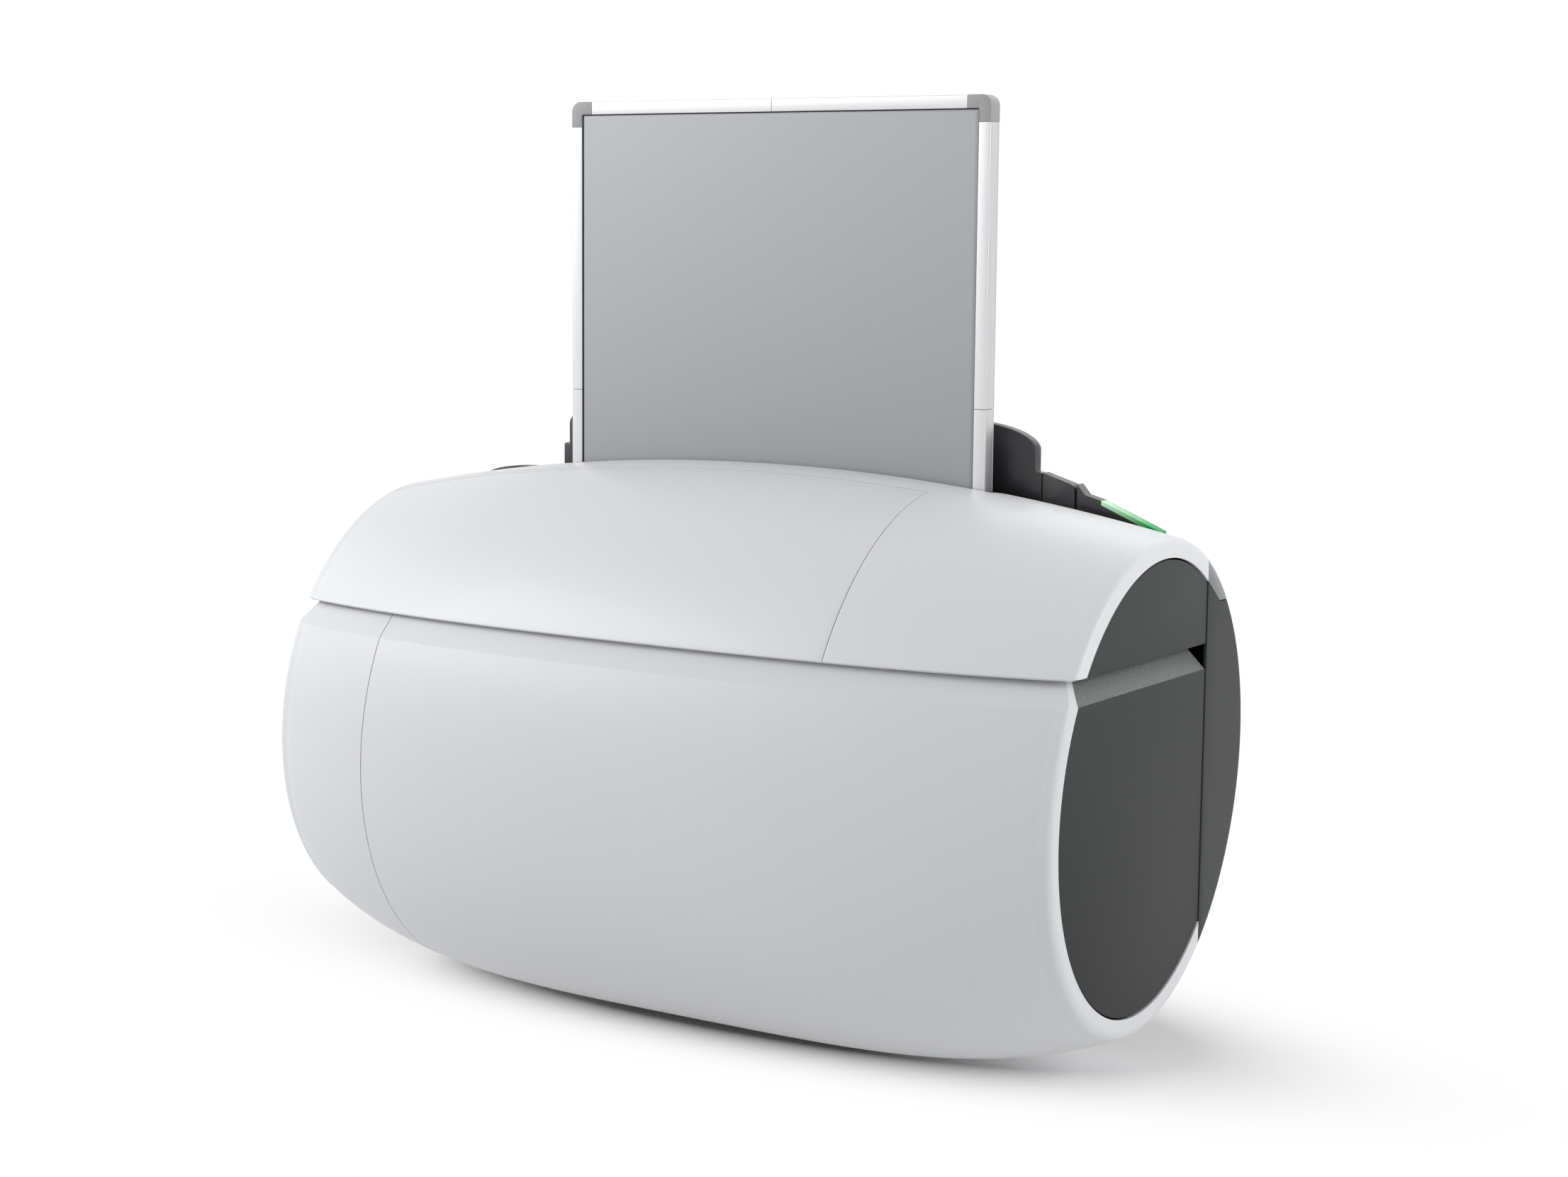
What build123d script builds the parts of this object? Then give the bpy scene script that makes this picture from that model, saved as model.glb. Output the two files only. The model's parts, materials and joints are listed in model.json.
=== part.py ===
from build123d import *
import math
import os

os.makedirs("parts", exist_ok=True)

# The scanner stands on its feet at Z = 0, faces -Y, and its cassette rises out of a slot in the top.
# All lengths are in millimetres, and angles in degrees.

# Body: a lying barrel with leaning oval sections and flat ends
side_room = 155.7
end_depth_radius = 152.5
end_height_radius = 179.7
mid_depth_radius = 186.3
mid_height_radius = 218.6
section_lean = 20.7
end_centre_y = 1.8
end_centre_z = 228.0
mid_centre_z = 224.4
top_swell_power = 2.1
bottom_swell_power = 4.0
station_shares = (-1, -0.9, -0.75, -0.5, -0.25, 0, 0.25, 0.5, 0.75, 0.9, 1)

# Shells, seams and fits
wall = 3.0
seam_gap = 0.8
rim_radius = 7.0
seat_gap = 0.3
running_fit = 0.05
overrun = 5.0
quarter_turn = 90.0

# Where the shells part
seam_z = 321.3
hood_right_x = 165.0
lower_left_margin = 108.0
top_left_margin = 94.0
crease_y = -10.0
rear_seam_y = 87.5

# Shadow bevel along the top of the lower panels
bevel_height = 19.0
bevel_front_setback = 17.0
bevel_end_setback = 12.0

# End caps, set into a rim
cap_rim_side = 13.3
cap_rim_top = 13.5
cap_shift_y = -2.5
cap_recess = 0.6
cap_gap = 0.6
cap_notch_depth = 12.0
tail_length = 21.0
tail_root_z = 367.5
tail_tip_z = 351.0

# Cassette
cassette_side_border = 13.7
cassette_end_border = 14.1
cassette_depth = 14.0
cassette_front_y = 27.5
cassette_bottom_z = 259.0
rail_width = 10.0
cap_arm = 20.0
cassette_corner_radius = 8.0
panel_thickness = 5.4
panel_setback = 0.8
panel_gap = 0.7
panel_bevel = 2.5
panel_bevel_drop = 0.9
plate_width = 355.6
plate_length = 431.8
plate_thickness = 1.0
plate_side_gap = 1.2

# Slot, deck and what stands on it
slot_gap = 1.2
deck_left_margin = 44.0
deck_right_margin = 16.0
deck_front_y = 48.0
deck_slot_margin = 5.5
deck_corner = 14.0
support_side_margin = 26.5
support_front_y = 58.0
support_depth = 10.0
support_top_z = 478.2
support_corner_width = 60.0
support_corner_height = 20.0
support_base_step = 5.5
support_base_z = 442.0
block_width = 26.7
block_drop = 8.0
block_corner = 6.0
console_gap = 2.0
console_right_margin = 26.0
console_high_z = 432.3
console_low_z = 404.3
console_lip = 3.0
console_lip_width = 6.5
console_lip_drop = 4.8
lens_left_margin = 20.0
lens_thickness = 3.2
shoulder_left_margin = 40.0
shoulder_top_z = 420.5
shoulder_round_width = 48.0
shoulder_round_height = 12.0

# Base and feet
foot_height = 4.0
foot_radius = 12.0
foot_edge = 1.0
plinth_half_width = 125.0
plinth_front_y = -18.0
plinth_back_y = 97.0
plinth_height = 52.0
plinth_floor = 3.0

# Chassis side plates and what joins them
chassis_gap = 13.5
sheet = 3.0
chassis_reach_y = 150.0
chassis_low_z = 30.0
chassis_high_z = 400.0
chassis_window_radius = 34.0
rod_radius = 5.0
front_rod_y = -109.0
front_rod_z = 257.0
upper_rod_y = -30.0
upper_rod_z = 341.0
rear_rod_y = 86.0
rear_rod_z = 96.0
shelf_z = 76.0
shelf_half_depth = 62.0
shelf_margin = 24.0

# Plate path and rollers
nip_clearance = 0.3
drive_radius = 10.0
pinch_radius = 8.0
roller_overhang = 2.2
shaft_radius = 4.0
upper_roller_z = 240.0
lower_roller_z = 180.0
bush_radius = 8.0
bush_length = 9.0
pulley_radius = 12.0
pulley_flange = 2.0
pulley_width = 9.0
pulley_flange_width = 1.0
pulley_gap = 5.0
belt_thickness = 1.5
motor_pulley_radius = 8.0
motor_size = 42.0
motor_length = 48.0
motor_y = -30.0
motor_z = 215.0
motor_shaft_radius = 2.5
motor_bore_depth = 10.0
motor_boss_radius = 11.0
guide_bend_radius = 86.0
guide_bend_z = 138.0
guide_gap = 2.2
guide_sheet = 1.2
guide_front_top_z = 245.0
inner_guide_top_z = 165.0
outer_guide_top_z = 143.0
platen_depth = 11.0
platen_half_height = 16.0
platen_gap = 0.8
platen_lip = 3.0
scan_z = 210.0

# Cassette guide and its latch
guide_fit = 0.4
guide_lip = 7.5
guide_wall = 4.0
guide_low_z = 250.5
latch_inset = 46.5
latch_z = 279.0
latch_pin_radius = 3.0
latch_pin_length = 24.0
latch_hole_gap = 0.4
solenoid_size = 22.0
solenoid_length = 30.0

# Optics
optics_half_width = 150.0
optics_front_y = 66.0
optics_back_y = 146.0
optics_low_z = 186.0
optics_high_z = 223.0
optics_wall = 2.5
beam_slot_half_width = 120.0
beam_slot_half_height = 4.0
mirror_y = 118.0
mirror_radius = 22.0
mirror_sides = 8
mirror_height = 12.0
mirror_motor_radius = 20.0
mirror_motor_height = 13.0
mirror_shaft_radius = 3.0
mirror_shaft_depth = 8.0
scan_lens_half_width = 70.0
scan_lens_y = 80.0
scan_lens_depth = 10.0
scan_lens_bulge = 5.0
scan_lens_height = 28.0
laser_x = 85.0
laser_length = 50.0
laser_radius = 8.0
laser_base = 20.0
collector_low_z = 212.0
collector_lip = 5.0
collector_high_z = 232.0
collector_back_y = 85.0
collector_thickness = 6.0
collector_bend_y = 58.0
pmt_x = 100.0
pmt_width = 60.0
pmt_depth = 28.0
pmt_height = 26.0
lamp_low_z = 146.0
lamp_height = 20.0
lamp_depth = 14.0
lamp_gap = 5.0
lamp_groove = 3.0

# Electronics
board_post_length = 18.0
board_thickness = 1.6
board_y_low = -90.0
board_y_high = 50.0
board_z_low = 100.0
board_z_high = 280.0
board_edge = 10.0
board_post_radius = 3.5
board_chip = 32.0
board_chip_height = 6.0
supply_gap = 16.0
supply_shelf_margin = 3.0
supply_half_depth = 55.0
supply_height = 72.0

# Connector recess at the back
tray_inset = 5.0
tray_width = 140.0
tray_low_z = 88.0
tray_high_z = 138.0
tray_floor_y = 112.0
tray_wall = 2.0
connector_z = 113.0
inlet_inset = 32.0
inlet_width = 23.0
inlet_height = 16.0
inlet_depth = 18.0
inlet_pin_length = 12.0
inlet_pin_width = 2.0
inlet_pin_height = 4.0
inlet_pin_pitch = 7.0
module_width = 70.0
module_height = 22.0
module_depth = 24.0
module_lip = 2.0
rocker_inset = 67.0
rocker_width = 12.8
rocker_pocket_height = 18.6
rocker_pocket_depth = 15.0
rocker_play = 0.3
rocker_half_height = 7.8
rocker_rise = 5.0
rocker_dip = 1.6
rocker_pivot_depth = 5.0
rocker_pivot_radius = 1.5
rocker_tilt = 8.0
port_inset = 112.0
port_width = 16.0
port_height = 14.0
port_depth = 20.0
port_mouth_width = 11.8
port_mouth_height = 8.4
port_mouth_depth = 12.0
tray_screw_radius = 3.0
tray_screw_height = 2.0
tray_screw_inset = 7.0

# Fan and vents
fan_inset = 105.0
fan_z = 285.0
fan_size = 80.0
fan_depth = 25.0
fan_back_y = 143.0
fan_bore_radius = 38.0
fan_hub_radius = 16.0
fan_tip_gap = 0.8
fan_blades = 7
fan_blade_thickness = 1.6
fan_blade_pitch = 40.0
fan_strut = 4.0
fan_strut_depth = 2.5
fan_shaft_radius = 1.5
duct_wall = 2.0
vent_width = 66.0
vent_height = 3.0
vent_pitch = 7.0
vent_rows = 10

# Sizes that follow from the ones above
cassette_width = plate_width + 2 * cassette_side_border
cassette_height = plate_length + 2 * cassette_end_border
half_length = cassette_width / 2 + side_room
half_gap = seam_gap / 2
reach = 2 * half_length
lower_left_x = lower_left_margin - half_length
top_left_x = top_left_margin - half_length
deck_left_x = deck_left_margin - half_length
deck_right_x = half_length - deck_right_margin
support_half_width = cassette_width / 2 + support_side_margin
support_base_half_width = support_half_width + support_base_step
block_left_x = support_base_half_width + seam_gap
block_right_x = block_left_x + block_width
console_left_x = block_right_x + console_gap
console_right_x = half_length - console_right_margin
lens_left_x = console_left_x + lens_left_margin
shoulder_left_x = shoulder_left_margin - half_length
chassis_x = cassette_width / 2 + chassis_gap
shelf_reach_x = half_length - shelf_margin
roller_half_length = plate_width / 2 + roller_overhang
pulley_start_x = chassis_x + sheet + pulley_gap
board_x = -chassis_x - sheet - board_post_length
supply_right_x = board_x - supply_gap
supply_left_x = supply_shelf_margin - shelf_reach_x
tray_left_x = tray_inset - chassis_x
tray_right_x = tray_left_x + tray_width
inlet_x = tray_left_x + inlet_inset
rocker_x = tray_left_x + rocker_inset
port_x = tray_left_x + port_inset
latch_x = cassette_width / 2 - latch_inset
fan_x = chassis_x - fan_inset
cap_face_x = half_length - cap_recess
bevel_low_z = seam_z - bevel_height
bevel_wall = wall * math.hypot(bevel_height, bevel_end_setback) / bevel_height
cassette_half = cassette_width / 2
cassette_back_y = cassette_front_y + cassette_depth
cassette_mid_y = cassette_front_y + cassette_depth / 2
cassette_top_z = cassette_bottom_z + cassette_height
slot_half = cassette_half + slot_gap
slot_front_y = cassette_front_y - slot_gap
slot_back_y = cassette_back_y + slot_gap
drive_y = cassette_mid_y - plate_thickness / 2 - nip_clearance - drive_radius
pinch_y = cassette_mid_y + plate_thickness / 2 + nip_clearance + pinch_radius
bend_y = cassette_mid_y - guide_bend_radius


def swell(x, power):
    """Share of the swell that the section at x has: 0 at the flat ends, 1 in the middle."""
    return 1 - abs(x / half_length) ** power


def section_centre(x):
    """Y and Z of the middle of the section at x, lowered where the bottom has swelled more than the top."""
    top, bottom = swell(x, top_swell_power), swell(x, bottom_swell_power)
    share = (top + bottom) / 2
    shift = (mid_height_radius - end_height_radius) * (top - bottom) / 2
    lean = math.radians(section_lean)
    return (end_centre_y * (1 - share) + shift * math.sin(lean),
            end_centre_z + (mid_centre_z - end_centre_z) * share + shift * math.cos(lean))


def section_radii(x):
    """Short and long radius of the section at x."""
    share = (swell(x, top_swell_power) + swell(x, bottom_swell_power)) / 2
    depth = end_depth_radius + (mid_depth_radius - end_depth_radius) * share
    height = end_height_radius + (mid_height_radius - end_height_radius) * share
    return depth, height


def front_y(x, z):
    """Y of the body's front surface at a place x along it and a height z."""
    depth, height = section_radii(x)
    centre_y, centre_z = section_centre(x)
    lean = math.radians(-section_lean)
    square = (math.cos(lean) / depth) ** 2 + (math.sin(lean) / height) ** 2
    cross = math.cos(lean) * math.sin(lean) * (1 / depth ** 2 - 1 / height ** 2)
    level = (math.sin(lean) / depth) ** 2 + (math.cos(lean) / height) ** 2
    rise = z - centre_z
    root = math.sqrt((cross * rise) ** 2 - square * (level * rise ** 2 - 1))
    return centre_y + (-cross * rise - root) / square


def block(x_low, x_high, y_low, y_high, z_low, z_high, mode=Mode.ADD):
    """Box between two places on each axis."""
    with Locations(((x_low + x_high) / 2, (y_low + y_high) / 2, (z_low + z_high) / 2)):
        Box(x_high - x_low, y_high - y_low, z_high - z_low, mode=mode)


def rod(x_low, x_high, y, z, radius, mode=Mode.ADD):
    """Round bar along X."""
    with Locations(((x_low + x_high) / 2, y, z)):
        Cylinder(radius, x_high - x_low, rotation=(0, 90, 0), mode=mode)


def barrel(inset, end_radius):
    """The whole body as one solid, drawn in by inset on every side."""
    with BuildPart() as body:
        for share in station_shares:
            x = share * (half_length - inset)
            depth, height = section_radii(x)
            with BuildSketch(Plane.YZ.offset(x)):
                with Locations(section_centre(x)):
                    Ellipse(depth - inset, height - inset, rotation=-section_lean)
        loft()
        fillet(body.faces().filter_by(GeomType.PLANE).edges(), end_radius)
    return body.part


def bevel_space(inset):
    """What the shadow bevel leaves of the space just below the seam, drawn in by inset."""
    with BuildPart() as space:
        for steps in (-1, 1.5):
            end_x = half_length - inset - steps * bevel_end_setback
            shift = inset + steps * bevel_front_setback
            places = [(share * end_x, front_y(share * half_length, bevel_low_z) + shift)
                      for share in station_shares]
            with BuildSketch(Plane.XY.offset(bevel_low_z + steps * bevel_height)):
                with BuildLine():
                    Spline(*places)
                    Polyline(places[-1], (end_x, reach), (-end_x, reach), places[0])
                make_face()
        loft(ruled=True)
    return space.part


def bevel_cut(inset):
    """The space above the bevel's slope, to be taken off a piece that ends at the seam."""
    with BuildPart() as cut:
        block(-reach, reach, -reach, reach, bevel_low_z - bevel_height, seam_z)
        add(bevel_space(inset), mode=Mode.SUBTRACT)
    return cut.part


def cap_cylinder(side, inset, x_low, x_high):
    """Leaning oval of an end cap, drawn in by inset, between two distances from the middle."""
    with BuildPart() as cylinder:
        with BuildSketch(Plane.YZ.offset(side * x_low)):
            with Locations((end_centre_y + cap_shift_y, end_centre_z)):
                Ellipse(end_depth_radius - cap_rim_side - inset, end_height_radius - cap_rim_top - inset,
                        rotation=-section_lean)
        extrude(amount=side * (x_high - x_low))
    return cylinder.part


def deck_plan(grow):
    """Outline of the dark deck seen from above, grown by a gap, as a tall prism."""
    with BuildPart() as prism:
        with BuildSketch(Plane.XY.offset(seam_z)):
            with Locations(((deck_left_x + deck_right_x) / 2, (deck_front_y + rear_seam_y) / 2)):
                RectangleRounded(deck_right_x - deck_left_x + 2 * grow, rear_seam_y - deck_front_y + 2 * grow,
                                 deck_corner)
            with Locations((0, (slot_front_y + rear_seam_y) / 2)):
                Rectangle(2 * (slot_half + deck_slot_margin + grow), rear_seam_y - slot_front_y + 2 * grow)
            with Locations(((deck_left_x + deck_right_x) / 2, rear_seam_y)):
                Rectangle(deck_right_x - deck_left_x + 2 * grow, deck_corner)
        extrude(amount=reach)
    return prism.part


def rear_tail(grow):
    """Space of the rim's tapering end behind the rear seam, grown by a gap."""
    tip_y = rear_seam_y + tail_length + grow
    with BuildPart() as tail:
        with BuildSketch(Plane.YZ.offset(half_length - 2 * rim_radius - grow)):
            with BuildLine():
                Polyline((rear_seam_y - half_gap, tail_root_z - grow), (tip_y, tail_tip_z - grow),
                         (reach, tail_tip_z - grow), (reach, reach), (rear_seam_y - half_gap, reach),
                         close=True)
            make_face()
        extrude(amount=reach)
    return tail.part


outer_volume = barrel(0, rim_radius)
inner_volume = barrel(wall, rim_radius - wall)
seat_volume = barrel(-seat_gap, rim_radius)

with BuildPart() as skin:
    add(outer_volume)
    add(inner_volume, mode=Mode.SUBTRACT)

with BuildPart() as lower_hollow:
    add(inner_volume)
    add(bevel_cut(bevel_wall), mode=Mode.SUBTRACT)

with BuildPart() as lower_skin:
    add(outer_volume)
    add(bevel_cut(0), mode=Mode.SUBTRACT)
    add(lower_hollow.part, mode=Mode.SUBTRACT)

with BuildPart() as interior:
    add(barrel(wall + guide_fit, rim_radius - wall))
    add(bevel_cut(bevel_wall + guide_fit), mode=Mode.SUBTRACT)

with BuildPart() as plinth_space:
    block(-plinth_half_width, plinth_half_width, plinth_front_y, plinth_back_y,
          foot_height, foot_height + plinth_height)

# Front hood: the white cover over the left and middle of the front, pulled off forwards
with BuildPart() as front_hood:
    block(-reach, hood_right_x - half_gap, -reach, crease_y - half_gap, seam_z + half_gap, reach)
    add(skin.part, mode=Mode.INTERSECT)
    add(cap_cylinder(-1, 0, half_length - 2 * wall, reach), mode=Mode.SUBTRACT)
front_hood.part.label = "front_hood"
export_step(front_hood.part, "parts/front_hood.step")

# Upper right housing: the white shell at the right, its rim and tail, and the strip before the slot
with BuildPart() as upper_right_housing:
    block(hood_right_x + half_gap, reach, -reach, rear_seam_y - half_gap, seam_z + half_gap, reach)
    block(top_left_x + half_gap, hood_right_x + seam_gap, crease_y + half_gap, rear_seam_y - half_gap,
          seam_z + half_gap, reach)
    add(rear_tail(0))
    add(skin.part, mode=Mode.INTERSECT)
    add(deck_plan(seam_gap), mode=Mode.SUBTRACT)
    add(cap_cylinder(1, 0, half_length - 2 * wall, reach), mode=Mode.SUBTRACT)
upper_right_housing.part.label = "upper_right_housing"
export_step(upper_right_housing.part, "parts/upper_right_housing.step")

# Upper left housing: the white shell behind the hood at the left end
with BuildPart() as upper_left_housing:
    block(-reach, top_left_x - half_gap, crease_y + half_gap, rear_seam_y - half_gap, seam_z + half_gap, reach)
    add(mirror(rear_tail(0), about=Plane.YZ, mode=Mode.PRIVATE))
    add(skin.part, mode=Mode.INTERSECT)
    add(deck_plan(seam_gap), mode=Mode.SUBTRACT)
    add(cap_cylinder(-1, 0, half_length - 2 * wall, reach), mode=Mode.SUBTRACT)
upper_left_housing.part.label = "upper_left_housing"
export_step(upper_left_housing.part, "parts/upper_left_housing.step")

# Lower front panel, with the lower half of the right rim
with BuildPart() as lower_front_panel:
    block(lower_left_x + half_gap, reach, -reach, rear_seam_y - half_gap, -reach, seam_z - half_gap)
    add(lower_skin.part, mode=Mode.INTERSECT)
    add(cap_cylinder(1, 0, half_length - 3 * bevel_end_setback, reach), mode=Mode.SUBTRACT)
lower_front_panel.part.label = "lower_front_panel"
export_step(lower_front_panel.part, "parts/lower_front_panel.step")

# Lower left panel, with the lower half of the left rim
with BuildPart() as lower_left_panel:
    block(-reach, lower_left_x - half_gap, -reach, rear_seam_y - half_gap, -reach, seam_z - half_gap)
    add(lower_skin.part, mode=Mode.INTERSECT)
    add(cap_cylinder(-1, 0, half_length - 3 * bevel_end_setback, reach), mode=Mode.SUBTRACT)
lower_left_panel.part.label = "lower_left_panel"
export_step(lower_left_panel.part, "parts/lower_left_panel.step")

# Rear housing: the dark shell behind the rear seam, with its fan duct, vents and connector window
with BuildPart() as duct_hollow:
    block(fan_x - fan_size / 2 + duct_wall, fan_x + fan_size / 2 - duct_wall, fan_back_y - overrun, reach,
          fan_z - fan_size / 2 + duct_wall, fan_z + fan_size / 2 - duct_wall)
    add(inner_volume, mode=Mode.INTERSECT)
with BuildPart() as rear_housing:
    block(-reach, reach, rear_seam_y + half_gap, reach, -reach, reach)
    add(skin.part, mode=Mode.INTERSECT)
    block(fan_x - fan_size / 2 - duct_wall, fan_x + fan_size / 2 + duct_wall, fan_back_y, reach,
          fan_z - fan_size / 2 - duct_wall, fan_z + fan_size / 2 + duct_wall)
    add(duct_hollow.part, mode=Mode.SUBTRACT)
    add(outer_volume, mode=Mode.INTERSECT)
    add(rear_tail(seam_gap), mode=Mode.SUBTRACT)
    add(mirror(rear_tail(seam_gap), about=Plane.YZ, mode=Mode.PRIVATE), mode=Mode.SUBTRACT)
    block(tray_left_x - guide_fit, tray_right_x + guide_fit, rear_seam_y, reach,
          tray_low_z - guide_fit, tray_high_z + guide_fit, mode=Mode.SUBTRACT)
    for side in (-1, 1):
        for row in range(vent_rows):
            vent_z = fan_z + (row - (vent_rows - 1) / 2) * vent_pitch
            block(side * fan_x - vent_width / 2, side * fan_x + vent_width / 2, fan_back_y + duct_wall, reach,
                  vent_z - vent_height / 2, vent_z + vent_height / 2, mode=Mode.SUBTRACT)
rear_housing.part.label = "rear_housing"
export_step(rear_housing.part, "parts/rear_housing.step")

# Upper end cap, a flat inset plate
with BuildPart() as end_cap_upper_right:
    block(cap_face_x - wall, cap_face_x, -reach, rear_seam_y - half_gap, seam_z + half_gap, reach)
    add(cap_cylinder(1, cap_gap, 0, reach), mode=Mode.INTERSECT)
end_cap_upper_right.part.label = "end_cap_upper_right"
export_step(end_cap_upper_right.part, "parts/end_cap_upper_right.step")

# Lower end cap, whose top slopes inwards as the shadow bevel does and leaves a notch at the rear
with BuildPart() as cap_hollow:
    block(0, cap_face_x - wall, -reach, reach, -reach, reach)
    add(bevel_cut(cap_recess + bevel_wall), mode=Mode.SUBTRACT)
with BuildPart() as end_cap_lower_right:
    block(half_length - 2 * bevel_end_setback, cap_face_x, -reach, rear_seam_y - half_gap,
          -reach, seam_z - half_gap)
    add(bevel_cut(cap_recess), mode=Mode.SUBTRACT)
    add(cap_hollow.part, mode=Mode.SUBTRACT)
    add(cap_cylinder(1, cap_gap, 0, reach), mode=Mode.INTERSECT)
    with BuildSketch(Plane.YZ):
        with BuildLine():
            Polyline((rear_seam_y, bevel_low_z), (rear_seam_y, seam_z), (rear_seam_y - cap_notch_depth, seam_z),
                     close=True)
        make_face()
    extrude(amount=reach, mode=Mode.SUBTRACT)
end_cap_lower_right.part.label = "end_cap_lower_right"
export_step(end_cap_lower_right.part, "parts/end_cap_lower_right.step")

# The left end caps are the right ones mirrored
with BuildPart() as end_cap_upper_left:
    add(end_cap_upper_right.part.mirror(Plane.YZ))
end_cap_upper_left.part.label = "end_cap_upper_left"
export_step(end_cap_upper_left.part, "parts/end_cap_upper_left.step")

with BuildPart() as end_cap_lower_left:
    add(end_cap_lower_right.part.mirror(Plane.YZ))
end_cap_lower_left.part.label = "end_cap_lower_left"
export_step(end_cap_lower_left.part, "parts/end_cap_lower_left.step")

# Plinth under the barrel, a tray closed by the shells above it, and its rubber feet
with BuildPart() as base_pan:
    add(plinth_space.part)
    add(seat_volume, mode=Mode.SUBTRACT)
    block(plinth_floor - plinth_half_width, plinth_half_width - plinth_floor, plinth_front_y + plinth_floor,
          plinth_back_y - plinth_floor, foot_height + plinth_floor, foot_height + plinth_height - overrun,
          mode=Mode.SUBTRACT)
base_pan.part.label = "base_pan"
export_step(base_pan.part, "parts/base_pan.step")

with BuildPart() as rubber_feet:
    for foot_x in (-plinth_half_width + 2 * foot_radius, plinth_half_width - 2 * foot_radius):
        for foot_y in (plinth_front_y + foot_radius, plinth_back_y - foot_radius):
            with Locations((foot_x, foot_y, foot_height / 2)):
                Cylinder(foot_radius, foot_height)
    chamfer(rubber_feet.edges().group_by(Axis.Z)[0], foot_edge)
rubber_feet.part.label = "rubber_feet"
export_step(rubber_feet.part, "parts/rubber_feet.step")

# Dark deck around the slot
with BuildPart() as top_deck:
    add(deck_plan(0))
    block(-reach, reach, -reach, rear_seam_y - half_gap, -reach, reach, mode=Mode.INTERSECT)
    add(skin.part, mode=Mode.INTERSECT)
    block(-slot_half, slot_half, slot_front_y - overrun, slot_back_y, 0, reach, mode=Mode.SUBTRACT)
top_deck.part.label = "top_deck"
export_step(top_deck.part, "parts/top_deck.step")

# Upright support behind the cassette, with rounded top corners and a wider base
with BuildPart() as cassette_support:
    side_z = support_top_z - support_corner_height
    with BuildSketch(Plane.XZ.offset(-support_front_y)):
        with BuildLine():
            right_arc = EllipticalCenterArc((support_half_width - support_corner_width, side_z),
                                            support_corner_width, support_corner_height, start_angle=0,
                                            arc_size=quarter_turn)
            left_arc = EllipticalCenterArc((support_corner_width - support_half_width, side_z),
                                           support_corner_width, support_corner_height, start_angle=quarter_turn,
                                           arc_size=quarter_turn)
            Line(right_arc @ 1, left_arc @ 0)
            Polyline(left_arc @ 1, (-support_half_width, support_base_z),
                     (-support_base_half_width, support_base_z), (-support_base_half_width, seam_z),
                     (support_base_half_width, seam_z), (support_base_half_width, support_base_z),
                     (support_half_width, support_base_z), right_arc @ 0)
        make_face()
    extrude(amount=-support_depth)
    add(seat_volume, mode=Mode.SUBTRACT)
cassette_support.part.label = "cassette_support"
export_step(cassette_support.part, "parts/cassette_support.step")

# Block at the right of the support, and the low rounded shoulder at its left
with BuildPart() as slot_end_blocks:
    with BuildSketch(Plane.XZ.offset(-support_front_y)):
        with BuildLine():
            Polyline((block_left_x, seam_z), (block_left_x, support_base_z),
                     (block_right_x, support_base_z - block_drop), (block_right_x, seam_z), close=True)
        make_face()
        fillet(vertices().sort_by(Axis.X)[-2:].sort_by(Axis.Y)[-1], block_corner)
        with BuildLine():
            shoulder = EllipticalCenterArc((shoulder_left_x + shoulder_round_width,
                                            shoulder_top_z - shoulder_round_height), shoulder_round_width,
                                           shoulder_round_height, start_angle=quarter_turn, arc_size=quarter_turn)
            Polyline(shoulder @ 1, (shoulder_left_x, seam_z), (-block_left_x, seam_z),
                     (-block_left_x, shoulder_top_z), shoulder @ 0)
        make_face()
    extrude(amount=-support_depth)
    add(seat_volume, mode=Mode.SUBTRACT)
slot_end_blocks.part.label = "slot_end_blocks"
export_step(slot_end_blocks.part, "parts/slot_end_blocks.step")

# Status console: a wedge that falls away to the right, with a lip at its left and a green lens on its rest
console_fall = (console_high_z - console_low_z) / (console_right_x - console_left_x)
lens_left_z = console_high_z - (lens_left_x - console_left_x) * console_fall
with BuildPart() as lens_space:
    with BuildSketch(Plane.XZ.offset(-support_front_y)):
        with BuildLine():
            Polyline((lens_left_x, lens_left_z), (console_right_x, console_low_z),
                     (console_right_x, console_low_z - lens_thickness), (lens_left_x, lens_left_z - lens_thickness),
                     close=True)
        make_face()
    extrude(amount=-support_depth)
with BuildPart() as status_console:
    with BuildSketch(Plane.XZ.offset(-support_front_y)):
        with BuildLine():
            Polyline((console_left_x, seam_z), (console_left_x, console_high_z + console_lip),
                     (console_left_x + console_lip_width, console_high_z - console_lip_drop),
                     (lens_left_x, lens_left_z), (console_right_x, console_low_z), (console_right_x, seam_z),
                     close=True)
        make_face()
    extrude(amount=-support_depth)
    add(seat_volume, mode=Mode.SUBTRACT)
    add(lens_space.part, mode=Mode.SUBTRACT)
status_console.part.label = "status_console"
export_step(status_console.part, "parts/status_console.step")

with BuildPart() as status_lens:
    add(lens_space.part)
    add(seat_volume, mode=Mode.SUBTRACT)
status_lens.part.label = "status_lens"
export_step(status_lens.part, "parts/status_lens.step")

# Chassis side plates, cut to the inside of the shells, with holes for the bushes and the motor
with BuildPart() as chassis_right:
    block(chassis_x, chassis_x + sheet, -chassis_reach_y, chassis_reach_y, chassis_low_z, chassis_high_z)
    add(interior.part, mode=Mode.INTERSECT)
    for roller_y in (drive_y, pinch_y):
        for roller_z in (upper_roller_z, lower_roller_z):
            rod(chassis_x - overrun, chassis_x + 2 * overrun, roller_y, roller_z, bush_radius, mode=Mode.SUBTRACT)
    rod(chassis_x - overrun, chassis_x + 2 * overrun, motor_y, motor_z, motor_boss_radius, mode=Mode.SUBTRACT)
    rod(chassis_x - overrun, chassis_x + 2 * overrun, bend_y, guide_bend_z, chassis_window_radius,
        mode=Mode.SUBTRACT)
chassis_right.part.label = "chassis_right"
export_step(chassis_right.part, "parts/chassis_right.step")

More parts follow.
